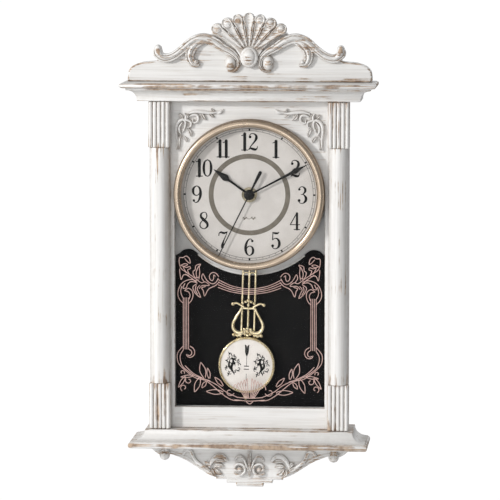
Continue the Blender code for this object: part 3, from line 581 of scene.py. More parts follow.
def moulding(name, levels, setback):
    """A moulding on three sides of the case: levels are (half width, z, wear, grime and painted shade), from
    bottom to top.
    """
    sculpt = Sculpt()
    corner = 0.8
    rings = []
    for half, z, wear, grime in levels:
        front = half - setback
        right = [(half, 0.0), (half, front - corner), (half - 0.3 * corner, front - 0.3 * corner),
                 (half - corner, front)]
        ring = right + [(-x, depth) for x, depth in reversed(right)]
        rings.append(sculpt.ring([(x, depth, z) for x, depth in ring], wear, grime))
    sculpt.skin(rings)
    sculpt.piece(name + "_carved", MOULDED, slot="case_paint", replaces=[name], sharp=30.0)


def half_round(half, centre_z, bulge, rise, wear, count=15):
    """A half-round edge, from bottom to top, most worn where it stands out, with a little painted shade at
    its ends where it meets the next member.
    """
    return [(half + bulge * x, centre_z + rise * z, wear * max(x, 0.0), 0.25 * (1 - x))
            for x, z in arc(0.0, 0.0, 1.0, -90.0, 90.0, count)]


def cove(half, start_z, spread, rise, count=15):
    """A concave sweep that leaves the case upright and ends level, in the direction of rise; it darkens
    towards its level end, painted shade in the crease there.
    """
    angles = [math.pi / 2 * i / (count - 1) for i in range(count)]
    return [(half + spread * (1 - math.cos(a)), start_z + rise * math.sin(a), 0.12,
             0.15 + 0.35 * math.sin(a) ** 6)
            for a in angles]


def make_mouldings():
    low = CORNICE.z0
    levels = [(110.6, low, 0.7, 0.0), (111.3, low + 0.5, 0.7, 0.0), (111.4, low + 1.1, 0.4, 0.0)]
    levels += cove(111.4, low + 1.3, 9.6, 9.9)
    # The steps under the nosing are darkened: painted shade under the overhang.
    levels += [(121.2, low + 11.4, 0.5, 0.3), (121.5, low + 11.6, 0.7, 0.0), (121.5, low + 13.0, 0.7, 0.0),
               (121.6, low + 13.2, 0.1, 1.0), (123.6, low + 13.3, 0.1, 1.0)]
    levels += half_round(124.4, 47.5, 2.7, 2.5, 1.0)[1:]
    moulding("cornice_moulding", levels, 62.5)

    top = BASE.z1
    flare = cove(104.6, top - 1.2, 12.5, -9.6)
    levels = half_round(117.2, -313.0, 2.6, 3.0, 1.0)[:-1]
    # The step over the half round at the foot is darkened: painted shade in the crease.
    levels += [(117.5, -310.2, 0.1, 1.0), (117.4, -309.9, 0.3, 0.6)] + flare[::-1]
    levels += [(104.5, top - 0.6, 0.6, 0.0), (104.0, top, 0.7, 0.0)]
    moulding("base_moulding", levels, 55.8)


def upright_prism(sculpt, section, z0, z1, end=0.8, levels=8):
    """A length of (x, depth, wear, grime and shade) section standing on z, with rounded ends that are worn.
    """
    xs = [p[0] for p in section]
    middle, half = (min(xs) + max(xs)) / 2, (max(xs) - min(xs)) / 2
    front = max(p[1] for p in section)
    stops = [(z0, 1.0), (z0 + 0.3 * end, 0.3), (z0 + end, 0.0)]
    stops += [(z0 + end + (z1 - z0 - 2 * end) * i / levels, 0.0) for i in range(1, levels)]
    stops += [(z1 - end, 0.0), (z1 - 0.3 * end, 0.3), (z1, 1.0)]
    rings = []
    for z, pull in stops:
        near_end = max(0.0, 1.0 - min(z - z0, z1 - z) / 4.0)
        drop = pull * end * 0.8
        rings.append(sculpt.ring([
            (middle + (x - middle) * (half - drop) / half,
             min(depth, front - drop) if depth > CARVING_BACK + 3 else depth, z, wear + 0.6 * near_end, grime)
            for x, depth, wear, grime in section]))
    sculpt.skin(rings)


def reeded_section(cx, half, front, count=5, pitch=4.2):
    """Plan of a block with convex reeds on its front, darkened in the valleys with grime and painted shade.
    """
    radius = pitch / 2
    shoulder = front - radius
    section = [(cx + half, shoulder, 0.3, 0.4), (cx + half, CARVING_BACK, 0.0, 0.3),
               (cx - half, CARVING_BACK, 0.0, 0.3), (cx - half, shoulder, 0.3, 0.4)]
    for i in range(count):
        centre = cx + (i - (count - 1) / 2) * pitch
        for x, rise in arc(0.0, 0.0, 1.0, 178.0, 2.0, 13):
            section.append((centre + radius * 0.97 * x, shoulder + radius * rise, 0.35 * rise ** 4,
                            (1 - rise) ** 1.5))
    return section


# The half column darkens towards its flanks, where it meets the frame: grime and painted shade.
def column_section(cx, half, front):
    curve = arc(0.0, 0.0, 1.0, 0.0, 180.0, 33)
    return [(cx + half * x, CARVING_BACK + (front - CARVING_BACK) * max(rise, 0.0) ** 0.92, 0.22 * rise,
             0.7 * (1 - rise))
            for x, rise in curve]


def make_pillars():
    for side in SIDES:
        for end in ("top", "bottom"):
            node = f"fluted_block_{end}_{side}"
            block = span(node)
            sculpt = Sculpt()
            half = (block.x1 - block.x0) / 2
            upright_prism(sculpt, reeded_section(block.cx, half, block.d1), block.z0, block.z1)
            sculpt.piece(node + "_reeds", FLUTED, slot="case_paint", replaces=[node], sharp=50.0)
        node = f"half_column_{side}"
        column = span(node)
        sculpt = Sculpt()
        half = (column.x1 - column.x0) / 2
        upright_prism(sculpt, column_section(column.cx, half, column.d1), column.z0, column.z1, 0.6, 16)
        sculpt.piece(node + "_round", FLUTED, slot="case_paint", replaces=[node], sharp=50.0)


# ---------------------------------------------------------------- crest

SHELL_CENTRE = 78.0
LOBES = ((90.0, 41.2, 6.4), (72.0, 41.4, 6.0), (54.5, 43.2, 6.4), (38.0, 46.2, 6.2))     # ray, tip, radius
BUD_Z, BUD_RX, BUD_RZ = 74.8, 9.0, 10.4


def on_ray(angle, reach):
    a = math.radians(angle)
    return reach * math.cos(a), SHELL_CENTRE + reach * math.sin(a)


def shell_outline():
    """The far side of seven round lobes on rays from one centre, over the bud."""
    lobes = [(turn, tip - r, r) for angle, tip, r in LOBES for turn in {angle, 180.0 - angle}]
    points = []
    first, last, steps, least = 31.0, 149.0, 120, 30.0
    for i in range(steps + 1):
        ray = first + (last - first) * i / steps
        reach = least
        for angle, distance, r in lobes:
            off = math.radians(ray - angle)
            inside = r ** 2 - (distance * math.sin(off)) ** 2
            if inside > 0.0:
                reach = max(reach, distance * math.cos(off) + math.sqrt(inside) - 0.3)
        points.append(on_ray(ray, reach))
    flank = [(10.0, 77.0), (13.5, 82.5), (20.0, 89.0), (27.0, 94.5)]
    bud = [(BUD_RX * x, BUD_Z + BUD_RZ * z) for x, z in arc(0.0, 0.0, 1.0, 180.0, 360.0, 17)]
    return flank + points + [(-x, z) for x, z in reversed(flank)] + bud


def make_shell():
    sculpt = Sculpt()
    # The front of the shell's backing board is darkened all over: painted shade in the gaps between the
    # lobes.
    sculpt.board(shell_outline(), CARVING_BACK, 38.5, 0.8, 0.5, grime=1.0)
    for angle, tip, r in LOBES:
        line = [(*on_ray(angle, reach), half) for reach, half in
                ((9.0, 1.1), (15.0, 1.8), (21.0, 2.6), (26.5, 3.3), (tip - r - 3.6, 0.74 * r),
                 (tip - r, 0.97 * r))]
        for sign in ((1, -1) if angle != 90.0 else (1,)):
            sculpt.band(flipped(line, sign), 38.2, 5.0, DISHED, wear=1.1)
    for angle, tip, r in LOBES[1:]:
        x, z = on_ray(angle, tip - r)
        for sign in (1, -1):
            sculpt.dome(sign * x, z, 0.7 * r, 0.7 * r, 40.4, 3.0, wear=1.5)
    for angle in (81.0, 63.2, 46.2):
        for sign in (1, -1):
            ridge = [(*on_ray(angle, reach), half) for reach, half in ((11.0, 0.4), (20.0, 0.6), (29.5, 0.8))]
            sculpt.band(flipped(ridge, sign), 38.2, 4.4, ROUND, wear=0.6)
    sculpt.dome(0.0, BUD_Z, BUD_RX, BUD_RZ, 38.2, 3.2, wear=0.3, power=4.0)
    sculpt.dome(0.0, BUD_Z + 0.4, 0.68 * BUD_RX, 0.8 * BUD_RZ, 40.2, 3.6, wear=0.7)
    for i in range(4):
        level = BUD_Z - 5.8 + 2.1 * i
        reach = 0.5 * BUD_RX * math.sqrt(1 - ((level - BUD_Z) / BUD_RZ) ** 2)
        crease = [(-reach, level + 0.9, 0.2), (0.0, level, 0.5), (reach, level + 0.9, 0.2)]
        sculpt.band(crease, 42.6 - 0.3 * (3 - i), 1.0, ROUND, wear=1.4)
    sculpt.piece("crest_shell_carved", CARVED, slot="carving_resin", replaces=["crest_shell"])


def crest_board_outline():
    shoulder = smooth([(122.0, BOARD.z0), (121.9, 56.0), (120.6, 61.5), (117.0, 65.6), (112.0, 67.8),
                       (106.5, 69.4), (100.0, 70.0)])
    sweep = smooth([(94.0, 70.6), (84.0, 75.0), (75.0, 78.5), (66.0, 84.0), (58.0, 91.0), (49.0, 94.5),
                    (40.0, 95.5)])
    cap = smooth([(35.0, 100.5), (27.0, 107.0), (14.0, 112.0), (0.0, 113.5)])
    return mirrored(shoulder + sweep + cap)


def make_crest():
    board = Sculpt()
    board.board(crest_board_outline(), BOARD.d0, BOARD.d1, 1.2)
    board.piece("crest_board_worn", WHITE_X, slot="case_paint", replaces=["crest_board"])
    make_shell()
    arm = [(91.6, 83.2, 3.0), (91.8, 78.4, 4.3), (85.0, 73.8, 4.4), (76.0, 75.8, 4.2), (66.5, 82.6, 4.2),
           (57.0, 90.4, 4.6), (46.0, 93.6, 5.0), (35.0, 90.2, 5.0), (26.0, 84.2, 4.2), (17.0, 79.0, 3.4),
           (11.4, 73.0, 2.6), (10.8, 66.4, 2.1), (15.0, 61.4, 1.7), (20.6, 61.4, 1.2)]
    finger = [(87.6, 76.0, 3.0), (90.4, 79.2, 4.2), (91.0, 83.2, 3.8)]
    curl = [(44.0, 92.0, 3.4), (52.6, 88.4, 4.6), (58.2, 81.6, 5.0), (59.2, 74.2, 4.2), (56.4, 68.2, 3.4),
            (51.8, 67.2, 2.4)]
    for side, sign in SIDES.items():
        sculpt = Sculpt()
        sculpt.band(flipped(curl, sign), CARVING_BACK, 6.0, REEDED, wear=1.0)
        sculpt.band(flipped(arm, sign), CARVING_BACK, 7.0, REEDED, wear=1.0)
        sculpt.band(flipped(finger, sign), CARVING_BACK + 0.4, 7.0, ROUND, wear=1.2)
        sculpt.dome(sign * 18.8, 68.8, 5.8, 7.8, CARVING_BACK, 7.0, wear=1.1)
        sculpt.dome(sign * 53.0, 70.0, 2.2, 2.4, CARVING_BACK, 6.4, wear=0.5)
        sculpt.piece(f"crest_scroll_{side}_carved", CARVED, slot="carving_resin",
                     replaces=[f"crest_scroll_{side}"])


# ---------------------------------------------------------------- spandrels and apron

def leaf(base, tip, half, bend=0.0):
    """A pointed leaf from base to tip; bend bows it sideways, as a share of its length."""
    (ax, az), (bx, bz) = base, tip
    dx, dz = bx - ax, bz - az
    line = []
    for t, width in ((0.0, 0.3), (0.25, 0.8), (0.5, 1.0), (0.75, 0.7), (1.0, 0.15)):
        bow = bend * 4 * t * (1 - t)
        line.append((ax + dx * t - dz * bow, az + dz * t + dx * bow, half * width))
    return line


def make_spandrels():
    """Leaf scrolls that fill the corners over the dial, drawn on the right-hand side."""
    outer = [(72.9, -17.2, 0.5), (72.0, -9.5, 0.9), (72.8, -3.8, 1.1), (73.2, 1.6, 1.4), (72.5, 6.7, 1.5),
             (70.2, 10.6, 1.5), (66.6, 12.3, 1.3), (64.3, 10.8, 1.1), (63.9, 7.3, 0.9), (65.0, 3.3, 0.8),
             (66.6, 0.3, 0.6)]
    crescent = [(67.0, 9.6, 0.5), (69.7, 5.5, 1.0), (70.0, 1.7, 1.1), (68.7, -1.8, 0.5)]
    corner = [(64.8, 18.4, 0.5), (63.4, 15.4, 1.2), (63.6, 12.4, 1.1), (60.6, 11.3, 1.1), (58.1, 9.5, 1.0),
              (58.5, 5.8, 0.9), (61.3, 4.6, 0.6)]
    curl = [(59.5, 15.6, 0.6), (56.0, 17.2, 1.1), (52.4, 16.8, 1.2), (50.8, 13.6, 1.1), (52.4, 10.2, 1.0),
            (55.8, 9.4, 0.8), (56.4, 12.4, 0.6)]
    top = [(60.0, 18.6, 0.7), (54.0, 20.4, 1.4), (46.0, 19.9, 1.6), (39.0, 19.0, 1.2), (32.5, 20.0, 0.8),
           (28.0, 21.2, 1.0)]
    leaves = (((69.0, -3.4), (70.2, -17.2), 1.7, 0.12), ((67.1, -4.4), (63.0, -9.8), 1.2, -0.15),
              ((61.9, 3.6), (58.8, -4.2), 1.4, -0.12), ((61.0, 18.2), (62.4, 11.8), 1.2, 0.1),
              ((47.5, 19.0), (43.0, 12.2), 1.5, 0.14), ((40.0, 18.8), (35.0, 15.0), 1.1, 0.12),
              ((66.8, 13.6), (70.8, 17.6), 1.3, 0.1), ((34.5, 20.0), (37.8, 23.6), 0.9, -0.1))
    for side, sign in SIDES.items():
        sculpt = Sculpt()
        for line in (outer, crescent, corner, curl, top):
            wide = [(x, z, 1.2 * half) for x, z, half in line]
            sculpt.band(flipped(wide, sign), CARVING_BACK, 3.4, ROUND, wear=0.5, taper=0.35)
        for base, tip, half, bend in leaves:
            sculpt.band(flipped(leaf(base, tip, 1.4 * half, bend), sign), CARVING_BACK, 3.2, VEINED, wear=0.4,
                        taper=0.35)
        sculpt.band(flipped(leaf((33.0, 18.9), (25.9, 22.8), 1.9, 0.1), sign), CARVING_BACK, 2.7, ROUND,
                    wear=0.4)
        sculpt.dome(sign * 65.6, 2.2, 1.6, 1.6, CARVING_BACK, 2.6)
        sculpt.piece(f"spandrel_{side}_carved", LACE, slot="carving_resin", replaces=[f"spandrel_{side}"])


def apron_outline():
    edge = smooth([(101.0, APRON.z1), (98.8, -321.4), (93.0, -326.0), (88.0, -327.5), (80.0, -326.5),
                   (66.5, -331.4), (57.6, -336.6), (49.0, -342.2), (41.5, -346.6), (34.0, -349.3)])
    steps = [(33.6, -351.2), (23.4, -351.2), (23.0, -354.6), (14.0, -354.6), (13.6, APRON.z0)]
    return mirrored(edge + steps)


def make_apron_board():
    board = Sculpt()
    board.board(apron_outline(), APRON.d0, APRON.d1 - 0.6, 1.0)
    rim = [(96.6, -320.4, 0.8), (91.8, -323.6, 1.7), (87.2, -324.8, 2.1), (79.4, -324.2, 2.1),
           (65.2, -328.8, 2.2), (56.2, -334.0, 2.2), (47.6, -339.6, 2.2), (40.2, -344.0, 2.1),
           (33.4, -346.9, 1.8)]
    for sign in (1, -1):
        board.band(flipped(rim, sign), APRON.d1 - 1.4, 1.4, REEDED, wear=1.1)
    for reach, z in ((31.8, -349.9), (22.0, -353.4), (12.8, -356.9)):
        board.band([(-reach, z, 0.9), (0.0, z, 0.9), (reach, z, 0.9)], APRON.d1 - 1.2, 1.2, ROUND, wear=1.1)
    board.piece("apron_board_worn", WHITE_X, slot="case_paint", replaces=["apron_board"])


def make_apron_carving():
    """Two scrolls back to back on a stem, between two bunches of leaves."""
    scroll = [(9.8, -339.1, 0.7), (12.4, -341.6, 0.9), (14.6, -338.4, 1.2), (11.2, -334.6, 1.3),
              (5.4, -336.8, 1.3), (4.6, -342.6, 1.3), (9.6, -346.4, 1.2), (15.2, -344.2, 0.8)]
    crown = [(14.8, -331.2, 0.8), (12.2, -327.8, 1.2), (8.3, -327.0, 1.3), (5.0, -330.8, 1.3),
             (3.2, -335.6, 1.1), (1.0, -341.6, 0.8)]
    stem = [(0.0, -320.0, 1.3), (0.0, -328.0, 1.9), (0.0, -336.0, 1.5), (0.0, -343.0, 1.2),
            (0.0, -347.6, 0.5)]
    blade = [(40.6, -338.6, 1.0), (37.4, -331.6, 2.3), (32.2, -327.4, 2.7), (26.6, -327.6, 2.4),
             (22.6, -331.4, 1.5)]
    fold = [(66.8, -325.6, 1.2), (63.8, -321.6, 1.7), (59.4, -322.4, 1.9), (57.2, -327.0, 1.8),
            (54.0, -332.6, 1.8), (46.6, -338.2, 1.5)]
    leaves = (((36.4, -333.6), (23.4, -333.0), 2.3, -0.16), ((35.6, -337.4), (25.6, -337.8), 2.3, -0.1),
              ((34.6, -339.8), (27.6, -345.6), 2.3, 0.12), ((37.6, -340.6), (33.8, -348.0), 2.0, 0.1),
              ((41.0, -338.4), (45.4, -333.0), 1.7, 0.14), ((52.6, -337.2), (38.6, -344.4), 1.9, -0.12))
    sculpt = Sculpt()
    for sign in (1, -1):
        for line in (scroll, crown, blade, fold):
            sculpt.band(flipped(line, sign), CARVING_BACK, 3.6, ROUND)
        sculpt.dome(sign * 9.9, -340.6, 2.7, 2.7, CARVING_BACK, 3.5, wear=1.4)
        for base, tip, half, bend in leaves:
            sculpt.band(flipped(leaf(base, tip, 1.1 * half, bend), sign), CARVING_BACK, 3.4, VEINED, wear=1.6)
    sculpt.band(stem, CARVING_BACK, 3.7, VEINED)
    sculpt.piece("apron_carving_carved", CARVED, slot="carving_resin", replaces=["apron_carving"])


def make_drop_finials():
    """Ribbed balls that hang under the base moulding."""
    for side in SIDES:
        drop = span(f"drop_finial_{side}")
        radius = (drop.x1 - drop.x0) / 2
        middle = drop.z0 + radius
        profile = [(0.0, drop.z1 - middle, 0.2, 0.0), (2.6, drop.z1 - middle, 0.2, 0.2),
                   (2.6, drop.z1 - middle - 1.2, 0.4, 0.5), (1.9, drop.z1 - middle - 1.8, 0.1, 1.0),
                   (3.7, radius - 0.1, 0.9, 0.1), (3.9, radius - 0.6, 0.9, 0.0),
                   (3.3, radius - 1.2, 0.1, 1.0)]
        profile += [(radius * 0.955 * x, radius * z, 0.35 + 0.4 * abs(z), 0.3)
                    for x, z in arc(0, 0, 1, 46, -89, 14)]
        sculpt = Sculpt()
        sculpt.lathe(profile, (drop.cx, (drop.d0 + drop.d1) / 2, middle), 48, upright=True, lobes=(8, 0.045))
        sculpt.piece(f"drop_finial_{side}_ribbed", CARVED, slot="carving_resin",
                     replaces=[f"drop_finial_{side}"])


# ---------------------------------------------------------------- dial

DIAL_FACE = span("dial_plate").d1
PRINT_BACK, PRINT = DIAL_FACE - 0.05, 0.12           # printed strokes lie in and just over a surface
HAIR, STEM = 0.48, 1.52             # half widths of the numerals' thin and thick strokes

SIX = [(3.3, 6.2, HAIR), (1.4, 8.3, 0.4), (-1.2, 7.2, 0.7), (-3.3, 3.0, 1.2), (-3.8, -2.0, 1.35),
       (-2.8, -6.2, 1.0), (0.0, -8.3, 0.42), (2.9, -6.4, 1.0), (3.7, -3.4, 1.25), (3.0, -0.4, 0.9),
       (0.6, 1.2, HAIR), (-1.8, 0.2, HAIR), (-3.0, -2.0, 0.3)]
DIGITS = {
    "1": [[(0.2, -8.0, STEM), (0.2, 8.0, STEM)], [(-2.8, -8.2, HAIR), (3.1, -8.2, HAIR)],
          [(0.2, 8.2, HAIR), (-1.2, 6.8, 0.5), (-2.9, 6.2, HAIR)]],
    "2": [[(-3.7, 4.6, HAIR), (-2.7, 7.5, 0.4), (0.2, 8.3, 0.5), (2.9, 6.6, 1.0), (3.3, 3.6, 1.35),
           (1.6, 0.4, 0.9), (-1.6, -3.6, 0.5), (-4.0, -7.4, HAIR)],
          [(-4.2, -7.6, HAIR), (-2.4, -6.4, 0.8), (0.2, -7.2, 1.25), (2.6, -7.6, 1.05), (4.1, -6.2, 0.5),
           (4.4, -4.4, 0.3)]],
    "3": [[(-3.3, 5.6, HAIR), (-2.1, 7.7, 0.4), (0.4, 8.3, 0.5), (2.8, 6.4, 1.1), (2.9, 3.6, 1.1),
           (0.8, 1.0, 0.45), (-1.2, 0.6, 0.3)],
          [(-1.0, 0.7, 0.3), (1.4, 0.3, 0.5), (3.6, -2.4, 1.25), (3.4, -5.6, 1.3), (0.8, -8.2, 0.5),
           (-2.2, -7.9, 0.4), (-3.7, -5.8, HAIR)]],
    "4": [[(1.6, 8.2, 0.45), (-1.5, 2.7, HAIR), (-4.6, -3.0, HAIR)], [(-4.8, -3.3, 0.4), (4.6, -3.3, 0.4)],
          [(1.9, 8.0, 1.15), (1.9, -8.0, 1.15)], [(-0.9, -8.2, HAIR), (4.5, -8.2, HAIR)]],
    "5": [[(-2.9, 8.0, 0.5), (-0.8, 7.3, 1.0), (1.6, 7.2, 0.9), (3.2, 8.2, 0.4)],
          [(-2.8, 8.0, HAIR), (-3.2, 0.8, HAIR)],
          [(-3.2, 0.6, HAIR), (-1.0, 2.0, 0.4), (1.6, 1.6, 0.8), (3.5, -1.6, 1.3), (3.2, -5.6, 1.2),
           (0.6, -8.2, 0.5), (-2.4, -7.8, 0.4), (-3.7, -5.6, HAIR)]],
    "6": [SIX],
    "7": [[(-4.3, 4.4, HAIR), (-3.9, 6.8, 0.5), (-2.0, 7.7, 0.95), (0.8, 6.9, 1.1), (3.0, 7.6, 0.7),
           (4.2, 8.4, 0.3)],
          [(4.2, 8.2, 0.3), (2.6, 4.0, 0.4), (0.4, -1.2, 0.7), (-0.6, -5.0, 1.35), (-0.7, -7.2, 1.4)]],
    "8": [[(3.0, 5.2, 0.6), (2.0, 7.8, 0.45), (0.0, 8.3, 0.4), (-2.7, 6.6, 0.9), (-2.6, 3.4, 1.2),
           (0.4, 0.4, 1.45), (3.2, -2.6, 1.3), (3.5, -5.8, 1.0), (0.2, -8.3, 0.42), (-3.4, -6.4, 0.6),
           (-3.6, -3.0, 0.55), (-1.2, 0.0, HAIR), (1.6, 1.6, HAIR), (3.0, 4.2, 0.55), (3.0, 5.4, 0.6)]],
    "9": [[(-x, -z, half) for x, z, half in SIX]],
    "0": [[(0.0, 8.25, HAIR), (-2.5, 6.4, 0.8), (-3.5, 2.6, 1.25), (-3.6, -2.0, 1.3), (-2.6, -6.4, 0.8),
           (0.0, -8.25, HAIR), (2.5, -6.4, 0.8), (3.5, -2.6, 1.25), (3.6, 2.0, 1.3), (2.6, 6.4, 0.8),
           (0.0, 8.25, HAIR)]],
}
BALLS = {"2": ((-2.9, 4.9, 1.35),), "3": ((-2.9, 5.7, 1.2), (-3.1, -5.5, 1.45)), "5": ((-3.1, -5.4, 1.45),),
         "6": ((2.9, 6.3, 1.25),), "9": ((-2.9, -6.3, 1.25),)}
OFFSETS = {"12": (-4.9, 3.6), "11": (-3.2, 3.0), "10": (-4.6, 3.7)}      # x of the two digits of an hour
NUMERAL_RADIUS = 52.8
RING_INNER, RING_OUTER = 35.96, 40.86                # the broad printed ring between numerals and centre
TRACK_INNER, TRACK_OUTER = 63.8, 66.1                # the two fine circles that bound the minute marks


def printed_disc(sculpt, x, z, radius):
    top = PRINT_BACK + PRINT + 0.01
    sculpt.lathe([(radius, PRINT_BACK), (radius, top), (0.0, top)], (x, 0.0, z), 20)


def printed_ring(sculpt, inner, outer, back=PRINT_BACK, steps=144):
    sculpt.lathe([(inner, back), (inner, back + PRINT), (outer, back + PRINT), (outer, back)],
                 (0.0, 0.0, DIAL_Z), steps, looped=True)


def make_numerals():
    sculpt = Sculpt()
    for hour in range(1, 13):
        a = math.radians(30.0 * hour)
        cx, cz = NUMERAL_RADIUS * math.sin(a), DIAL_Z + NUMERAL_RADIUS * math.cos(a)
        text = str(hour)
        for digit, offset in zip(text, OFFSETS.get(text, (0.0,))):
            for i, line in enumerate(DIGITS[digit]):
                moved = [(cx + offset + x, cz + z, half) for x, z, half in line]
                sculpt.stroke(moved, PRINT_BACK, PRINT + 0.004 * i)
            for x, z, radius in BALLS.get(digit, ()):
                printed_disc(sculpt, cx + offset + x, cz + z, radius)
    sculpt.piece("dial_numerals", DIAL_INK, slot="dial_print")


def make_dial_print():
    ring = Sculpt()
    printed_ring(ring, RING_INNER, RING_OUTER)
    ring.piece("dial_middle_ring", DIAL_RING, slot="dial_print")
    track = Sculpt()
    fine = 0.17
    for radius in (TRACK_INNER, TRACK_OUTER):
        printed_ring(track, radius - fine, radius + fine)
    for minute in range(60):
        a = math.radians(6.0 * minute)
        hour = minute % 5 == 0
        inner, half = (64.0, 0.8) if hour else (TRACK_INNER, 0.14)
        line = [(r * math.sin(a), DIAL_Z + r * math.cos(a), half) for r in (inner, TRACK_OUTER)]
        track.band(line, PRINT_BACK, PRINT + 0.01, FLAT, 0, False, taper=0.0)
    track.piece("dial_minute_track", DIAL_INK, slot="dial_print")


def make_dial_sprig():
    """A small leaf sprig, where the real dial has a word."""
    sprig = Sculpt()
    cx, cz = -0.4, DIAL_Z - 24.0
    for sign in (1, -1):
        stem = [(0.0, -0.5, 0.24), (3.2, 0.5, 0.22), (7.0, -0.2, 0.14)]
        sprig.stroke([(cx + sign * x, cz + z, half) for x, z, half in stem], PRINT_BACK, PRINT)
        for x, lift in ((1.8, 1.1), (3.4, -0.9), (4.8, 1.0)):
            blade = leaf((x, 0.2), (x + 1.8, 0.2 + 1.5 * lift), 0.6)
            sprig.stroke([(cx + sign * u, cz + z, half) for u, z, half in blade], PRINT_BACK, PRINT + 0.01)
    sprig.piece("dial_sprig", DIAL_RING, slot="dial_print")


def make_bezel():
    roll_radius, roll_centre, roll_depth = 3.7, 71.65, 42.7
    roll = [(roll_centre + roll_radius * x, roll_depth + roll_radius * d, 0.2, 0.65 * abs(x) ** 5)
            for x, d in arc(0.0, 0.0, 1.0, -12.0, 176.0, 22)]
    profile = [(72.2, BEZEL.d0), (75.5, BEZEL.d0), (75.7, BEZEL.d0 + 0.3), (75.7, BEZEL.d0 + 1.6),
               (75.2, BEZEL.d0 + 2.0, 0.0, 0.8), (74.7, BEZEL.d0 + 2.6, 0.0, 1.0),
               (74.9, BEZEL.d0 + 3.6, 0.0, 0.4)]
    profile += roll + [(67.9, 43.6, 0.0, 0.6), (68.4, 43.5, 0.0, 0.6), (72.2, 43.5)]
    sculpt = Sculpt()
    sculpt.lathe(profile, (0.0, 0.0, DIAL_Z), 160, looped=True)
    sculpt.piece("bezel_turned", ANTIQUE_GOLD, slot="antique_gold", replaces=["bezel"], sharp=45.0)


def make_spacer():
    """The ring between dial and lens, seen through the lens as the dial's inner wall."""
    spacer = span("dial_spacer")
    outer = spacer.x1
    wall = [(outer, spacer.d0), (outer, spacer.d1), (outer - 1.6, spacer.d1), (outer - 2.3, spacer.d1 - 0.8),
            (outer - 2.4, spacer.d1 - 2.4), (outer - 1.9, spacer.d1 - 2.8, 0.0, 0.8),
            (outer - 2.4, spacer.d1 - 3.2), (outer - 2.4, spacer.d0 + 0.3), (outer - 2.1, spacer.d0)]
    sculpt = Sculpt()
    sculpt.lathe(wall, (0.0, 0.0, DIAL_Z), 160, looped=True)
    sculpt.piece("dial_spacer_turned", ANTIQUE_GOLD, slot="antique_gold", replaces=["dial_spacer"],
                 sharp=45.0)


HAND_THICKNESS = 0.4
HAND_EDGE = ((-1, 0, 0, 0), (-1, 0.7, 0, 0), (-0.75, 1, 0, 0), (0.75, 1, 0, 0), (1, 0.7, 0, 0), (1, 0, 0, 0))


def make_hand(body, back, line, hub, bore, extra=None):
    """A blade along (x, z, half width), drawn pointing to twelve, with a round hub and its bore."""
    front = back + HAND_THICKNESS
    sculpt = Sculpt(turned_place(math.radians(CLOCK_ANGLES[body]), 0.0, DIAL_Z))
    sculpt.band(line, back, front - back, HAND_EDGE, 6, taper=0.0)
    edge = 0.12
    round_hub = [(bore, back), (hub, back), (hub, front - edge), (hub - edge, front + 0.01),
                 (bore, front + 0.01)]
    sculpt.lathe(round_hub, (0.0, 0.0, 0.0), 48, looped=True)
    if extra:
        extra(sculpt)
    sculpt.piece(body + "_hand_shaped", BLACK_HANDS, body, slot="black_hands", replaces=[body + "_hand"])


def make_hands():
    hour = [(0.0, 3.6, 1.05), (0.0, 14.0, 1.05), (0.0, 24.2, 1.1), (0.0, 26.2, 1.9), (0.0, 28.2, 3.1),
            (0.0, 29.8, 3.4), (0.0, 31.6, 3.0), (0.0, 36.0, 1.9), (0.0, 40.5, 0.9), (0.0, 43.9, 0.1)]
    minute = [(0.0, 3.4, 0.75), (0.0, 25.0, 0.9), (0.0, 42.0, 1.25), (0.0, 48.5, 1.7), (0.0, 50.6, 2.5),
              (0.0, 52.6, 2.8), (0.0, 54.8, 2.1), (0.0, 58.0, 1.2), (0.0, 63.0, 0.55), (0.0, 68.1, 0.1)]
    second = [(0.0, -25.0, 1.7), (0.0, -21.0, 1.6), (0.0, -12.0, 1.15), (0.0, 0.0, 0.8), (0.0, 9.0, 0.62),
              (0.0, 40.0, 0.56), (0.0, 68.1, 0.46)]

    def cap(sculpt):
        sculpt.lathe([(0.0, 39.6), (4.9, 39.6), (5.1, 39.8), (5.1, 40.2), (4.8, 40.6), (4.0, 41.0),
                      (2.4, 41.25), (0.0, 41.3)], (0.0, 0.0, 0.0), 48)

    make_hand("hour", 37.2, hour, 4.8, 2.9)
    make_hand("minute", 38.3, minute, 4.4, 1.9)
    make_hand("second", 39.4, second, 3.4, 0.7, cap)


# ---------------------------------------------------------------- print on the pane

LINE = 0.36                          # half width of the printed lines
THIN_LINE = 0.9 * LINE
STRAP_PITCH = 1.75                   # from line to line in straps and swag


def leaf_edge(base, tip, half):
    """The outline of a leaf, from its base round the tip and back."""
    side = Vector((base[1] - tip[1], tip[0] - base[0])).normalized()
    left, right = ([(x + sense * side.x * width, z + sense * side.y * width)
                    for x, z, width in leaf(base, tip, half)]
                   for sense in (1, -1))
    return left + right[::-1]


